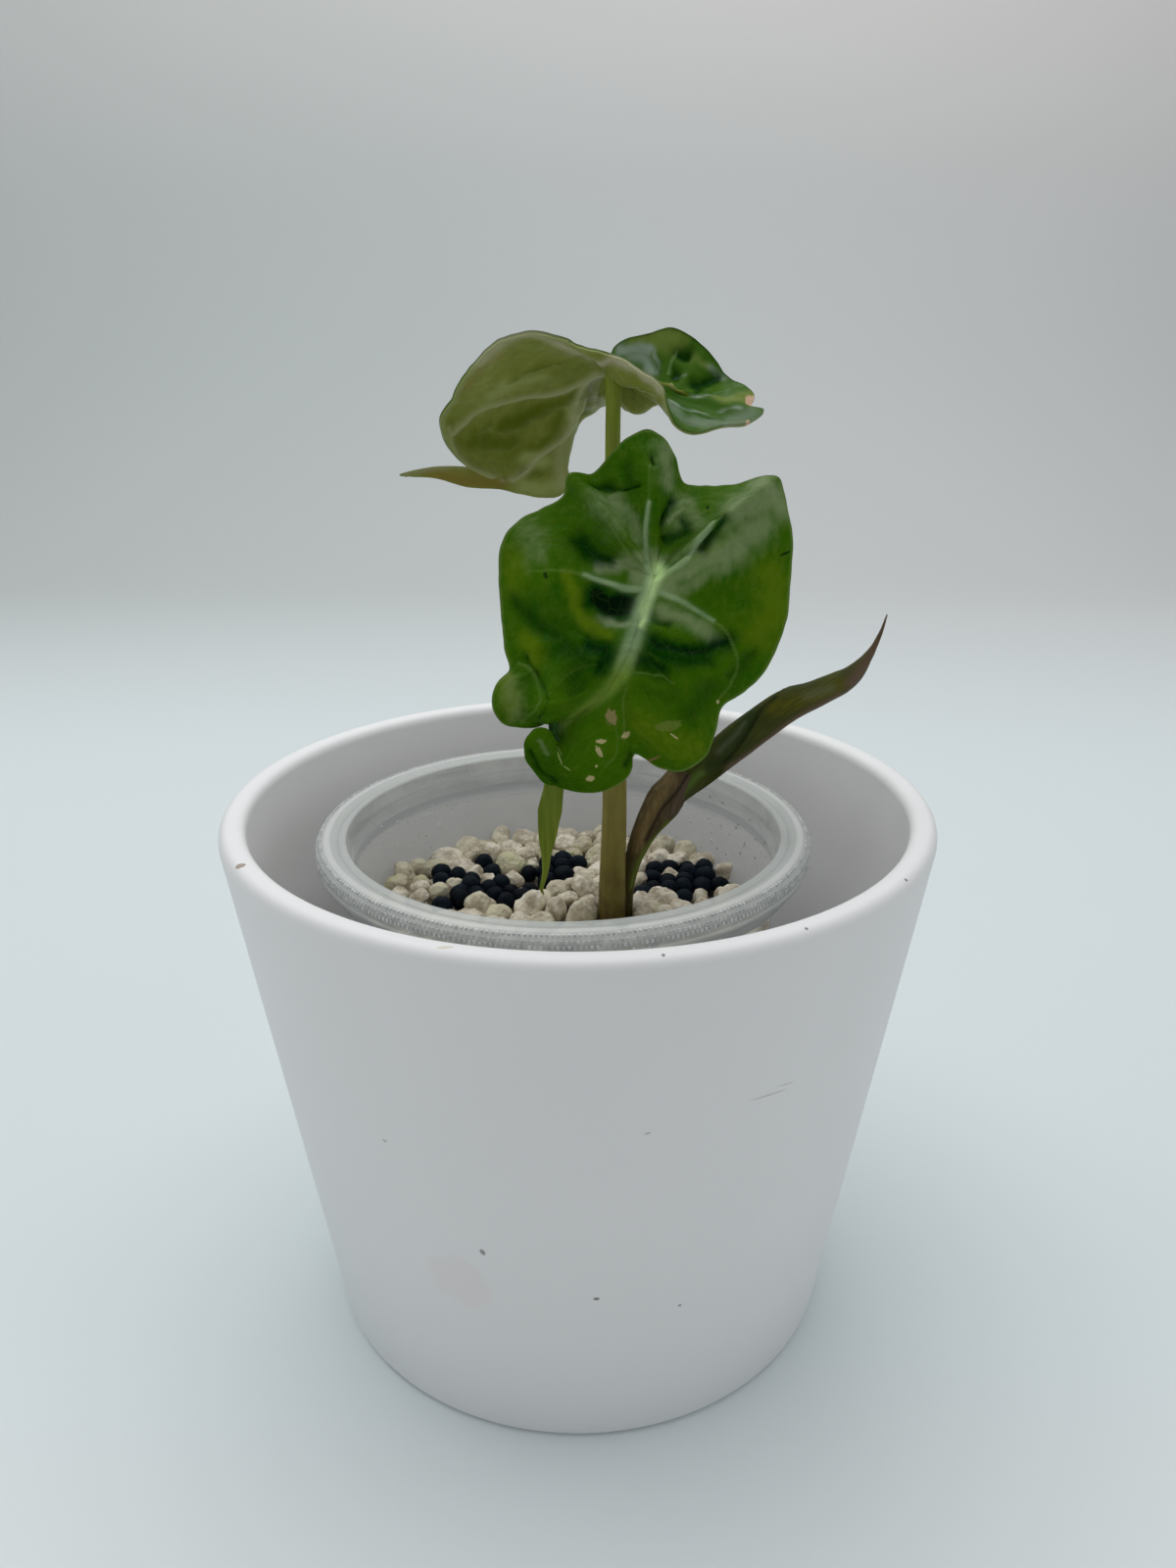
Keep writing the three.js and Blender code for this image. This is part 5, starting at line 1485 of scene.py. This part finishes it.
# %% Top leaf strokes
TOP_STROKES = {
    "vein": [
        (0.9, 0.9, 0.9, [(5, 192), (2, 191), (0, 188), (-0.5, 185.5), (-1.5, 182), (-3.5, 179)]),
        (1.0, 1.2, 0.9, [(-3.5, 179), (-6.5, 177), (-8.5, 175.5), (-10.5, 173), (-13, 171.5)]),
        (1.1, 0.8, 0.95, [(4, 192), (0.5, 190.5), (-3, 189.5), (-6.5, 188.5), (-11, 187.5),
            (-15, 186.5)]),
        (0.8, 1.2, 0.8, [(-15, 186.5), (-18.5, 185.5), (-21.5, 183.5), (-23.5, 181.5)]),
        (0.6, 0.7, 0.65, [(-24, 183), (-23.5, 178.5), (-21.5, 175), (-18.5, 173), (-15, 171)]),
        (1.5, 1.6, 0.6, [(-1.5, 182), (-3.5, 177.5), (-4, 173.5), (-3.5, 170)]),
        (0.5, 0.45, 0.6, [(18.8, 195.5), (17.5, 192.6), (16.8, 190)]),
    ],
    "edge": [
        (2.2, 2.2, 0.8, [(-16.5, 194.5), (-14, 196.5), (-11, 197.5), (-8, 198), (-4, 197),
            (0, 195)]),
        (1.1, 1.0, 1.0, [(2, 194), (6.5, 194.5), (8.5, 194), (11, 192.5), (14, 189.5)]),
        (0.7, 0.5, 0.5, [(-34.5, 172), (-31, 173), (-27, 173.5), (-22.5, 173.5)]),
        (0.5, 0.4, 0.5, [(26, 183.2), (30.2, 183.4)]),
    ],
    "dark": [
        (2.6, 2.2, 0.8, [(-14, 183), (-9, 185), (-3.5, 187), (-1.5, 188)]),
        (2.4, 2.0, 0.7, [(-20, 179.8), (-16, 179.2), (-13, 179.4)]),
        (1.4, 1.4, 0.6, [(-3.5, 184.5), (-5, 181), (-8, 178)]),
        (1.6, 1.4, 0.5, [(-20.5, 181), (-17, 183)]), (1.2, 1.2, 0.6, [(-9.5, 172), (-8, 172.5)]),
        (0.6, 0.5, 0.6, [(-12.5, 191), (-8.5, 193.5), (-3, 194.5)]),
        (0.4, 0.4, 0.5, [(-6.5, 187), (-11, 184.5), (-13, 182.5), (-13.5, 179.5)]),
        (1.3, 1.3, 0.95, [(19.7, 194.9), (20.8, 194.3)]),
        (1.3, 1.0, 0.85, [(18.6, 191.3), (18.2, 189.5)]),
        (1.7, 1.5, 1.0, [(19, 188.9), (21.2, 189.3), (24.5, 190), (25.8, 190.5)]),
        (0.7, 0.7, 0.3, [(15.3, 193), (15.4, 190.5)]),
        (0.5, 0.5, 0.35, [(17, 187.3), (18.6, 185), (20.5, 183.6)]),
        (0.5, 0.5, 0.3, [(18.8, 187.3), (22, 185.3), (26, 184.6)]),
        (0.8, 0.8, 0.6, [(1.5, 188), (0.5, 185)]),
    ],
    "sheen": [
        (1.3, 1.3, 1.0, [(8.3, 195.3), (11.5, 195.8), (13.4, 195.4)]),
        (1.5, 1.3, 0.8, [(10.5, 194.2), (13, 194), (14, 191.8)]),
        (0.45, 0.45, 0.8, [(14.2, 195.8), (15.1, 194), (15.2, 191.7)]),
        (0.5, 0.45, 0.6, [(18.5, 190.9), (20.6, 190.9)]),
        (0.45, 0.45, 0.7, [(19, 187.9), (23, 187.8), (26.3, 188.3), (28, 189.5)]),
        (0.9, 0.9, 0.55, [(25, 192.3), (27.5, 190.3)]),
        (1.9, 2.2, 0.48, [(16.6, 187.5), (18.3, 185.0), (21.5, 184.2), (26, 184.1), (31, 184.6)]),
        (0.5, 0.5, 0.75, [(16.5, 188.4), (19.3, 186.8), (24, 185.7), (29.5, 185.7)]),
    ],
    "warm": [
        (1.7, 1.7, 1.0, [(26, 187.4), (29, 187.6), (31.4, 187.8)]),
        (2.6, 2.6, 0.9, [(12, 197), (15.5, 197.3), (18.5, 197.6)]),
        (1.3, 1.3, 0.5, [(22, 194), (24.5, 192.6)]), (3.6, 3.6, 0.6, [(-12, 179), (-15, 181)]),
    ],
    "dry": [
        (1.6, 1.6, 1.0, [(-29, 172), (-24, 171.3), (-19.5, 170.5), (-15.5, 170.3)]),
        (1.2, 1.2, 0.5, [(-20, 189), (-16.5, 193), (-13, 195.5)]),
    ],
    "clear": [
        (2.2, 2.0, 0.9, [(-11, 169.5), (-7.5, 168.8), (-4.5, 169.5)]),
        (1.3, 1.3, 0.8, [(-1, 184), (-0.5, 187)]), (1.7, 1.7, 0.85, [(-10.5, 175.6), (-7, 174.6)]),
        (2.2, 1.6, 0.5, [(-17, 186), (-12, 190.5), (-7, 192)]),
    ],
}
top_leaf = blade(
    "top_leaf", TOP_MIDRIB, TOP_RIBS, up=(0, 0, 1), strokes=TOP_STROKES,
    depth=1.6, dip=1.0, ridge=0.8, wave=0.4,
)

# %% Top leaf finish
DEAD = (0.62, 0.42, 0.28)
tip_marks = [
    ((31.4, 1.6, 186.8), (1.0, 2.2, 1.1), 0.3, 1.5, DEAD, 0.95),
    ((30.3, -4.0, 183.3), (0.5, 1.2, 0.7), 0.0, 1.0, DEAD, 0.9),
]
olive_under, tree, shader, place, on = leaf_finish("top_blade", 0.32, 60.0, 260.0)
rim_glow = painted(tree, "edge")
over = layered(
    tree,
    tint(tree, on["broad"], (0.0299, 0.0978, 0.0046), (0.0633, 0.1437, 0.0115)),
    (broken(tree, on, "warm", 0.3), 1.0, (0.1552, 0.2185, 0.0403)),
    # Painted reflection: the sheens in the glossy trough.
    (broken(tree, on, "sheen", 0.06), 1.0, (0.225, 0.300, 0.215)),
    # Painted shade in the hollows of the trough.
    (broken(tree, on, "dark", 0.3), 1.0, (0.0034, 0.0391, 0.0011)),
    (spread(tree, on["vein"], 0.15, 0.8), 0.7, (0.1955, 0.3105, 0.115)),
    (rim_glow, 0.8, (0.345, 0.345, 0.253)),
)
under = layered(
    tree,
    tint(tree, on["broad"], (0.160, 0.205, 0.018), (0.270, 0.305, 0.070)),
    (on["small"], 0.4, (0.255, 0.285, 0.080)),
    (on["streaks"], 0.4, (0.120, 0.150, 0.010)),
    # Painted shade beside the raised veins on the underside.
    (broken(tree, on, "dark", 0.12), 1.0, (0.100, 0.135, 0.006)),
    (painted(tree, "dry"), 0.8, (0.255, 0.190, 0.040)),
    # Painted light shining through the thin blade in the clear patches.
    (painted(tree, "clear"), 0.8, (0.400, 0.460, 0.160)),
    (calc(tree, "POWER", on["vein"], 1.2), 1.0, (0.400, 0.425, 0.215)),
    (rim_glow, 0.85, (0.470, 0.445, 0.300)),
    # Painted highlight along the leaf's edge.
    (spread(tree, on["outward"], 0.95, 1.0), 0.5, (0.39, 0.42, 0.195)),
)
both = with_marks(tree, tint(tree, on["under"], over, under), place, tip_marks)
feed(tree, both, shader.inputs["Base Color"])
on_top = calc(tree, "SUBTRACT", 1.0, on["under"])
coat = calc(tree, "MULTIPLY", calc(tree, "MULTIPLY", on["sheen"], 0.4), on_top)
feed(tree, coat, shader.inputs["Coat Weight"])
bump(tree, shader, effect(tree, grain, place, Size=380.0), 0.00016, 0.5)
settle(top_leaf, olive_under, "blade_top", "blade_top")

# %% [markdown]
# ## Floor, backdrop and light
# The photograph was taken in a small light tent: pale cloth below and behind, soft light from
# above. One sheet that curves up behind the pot gives the seamless ground. A large soft lamp
# overhead gives the bright rim and the darker front of the pot, and two weak ones at the
# sides stand for the light that the tent's walls throw back.

# %% Backdrop
HALF_WIDTH, DEPTH, BEND = 2.5, 0.75, 0.35
sweep = [(-2.5, 0.0), (DEPTH, 0.0)]
for a in np.linspace(0.1, math.pi / 2, 14):
    sweep.append((DEPTH + BEND * math.sin(a), BEND - BEND * math.cos(a)))
sweep.append((DEPTH + BEND, 2.2))
backdrop_points = [(x, y, z) for y, z in sweep for x in (-HALF_WIDTH, HALF_WIDTH)]
backdrop_faces = [(2 * i, 2 * i + 1, 2 * i + 3, 2 * i + 2) for i in range(len(sweep) - 1)]
backdrop = make_piece("backdrop", backdrop_points, backdrop_faces)
cloth, tree, shader, place = new_finish("pale_ground", Roughness=0.8)
spots = add_node(tree, "ShaderNodeSeparateXYZ", {"Vector": place}).outputs
# Painted light and shade of the tent: the cloth is lighter towards the camera and a little on the
# right, darker far back, and lighter again up the wall.
far = spread(tree, spots["Y"], 0.25, 0.85)
right = spread(tree, spots["X"], -0.3, 0.5)
high = spread(tree, spots["Z"], 0.15, 0.7)
near = spread(tree, spots["Y"], 0.0, -0.14)
ground = tint(tree, near, (0.745, 0.822, 0.840), (0.850, 0.890, 0.900))
distant = tint(tree, right, (0.595, 0.635, 0.630), (0.680, 0.700, 0.700))
upper = tint(tree, right, (0.790, 0.785, 0.765), (0.920, 0.870, 0.850))
ground = layered(tree, ground, (far, 1.0, distant), (high, 1.0, upper))
feed(tree, ground, shader.inputs["Base Color"])
backdrop.data.materials.append(cloth)

# %% Lights
world = bpy.data.worlds.new("soft_room")
world.use_nodes = True
room = world.node_tree.nodes["Background"].inputs
room["Color"].default_value = (0.94, 0.95, 0.97, 1.0)
room["Strength"].default_value = 0.405
bpy.context.scene.world = world


def soft_lamp(name, place, target, size, watts):
    """A square soft lamp that points at a target."""
    data = bpy.data.lights.new(name, "AREA")
    data.size = size
    data.energy = watts
    lamp = bpy.data.objects.new(name, data)
    lamp.location = place
    aim = Vector(target) - Vector(place)
    lamp.rotation_euler = aim.to_track_quat("-Z", "Y").to_euler()
    bpy.context.scene.collection.objects.link(lamp)


soft_lamp("overhead", (-0.12, 0.27, 1.08), (0.0, 0.05, 0.0), 1.3, 7.7)
soft_lamp("left_wall", (-0.75, -0.02, 0.4), (0.0, 0.0, 0.06), 0.7, 0.28)
soft_lamp("right_wall", (0.75, -0.02, 0.4), (0.0, 0.0, 0.06), 0.7, 0.42)
print("lamps", sorted(light.name for light in bpy.data.lights))
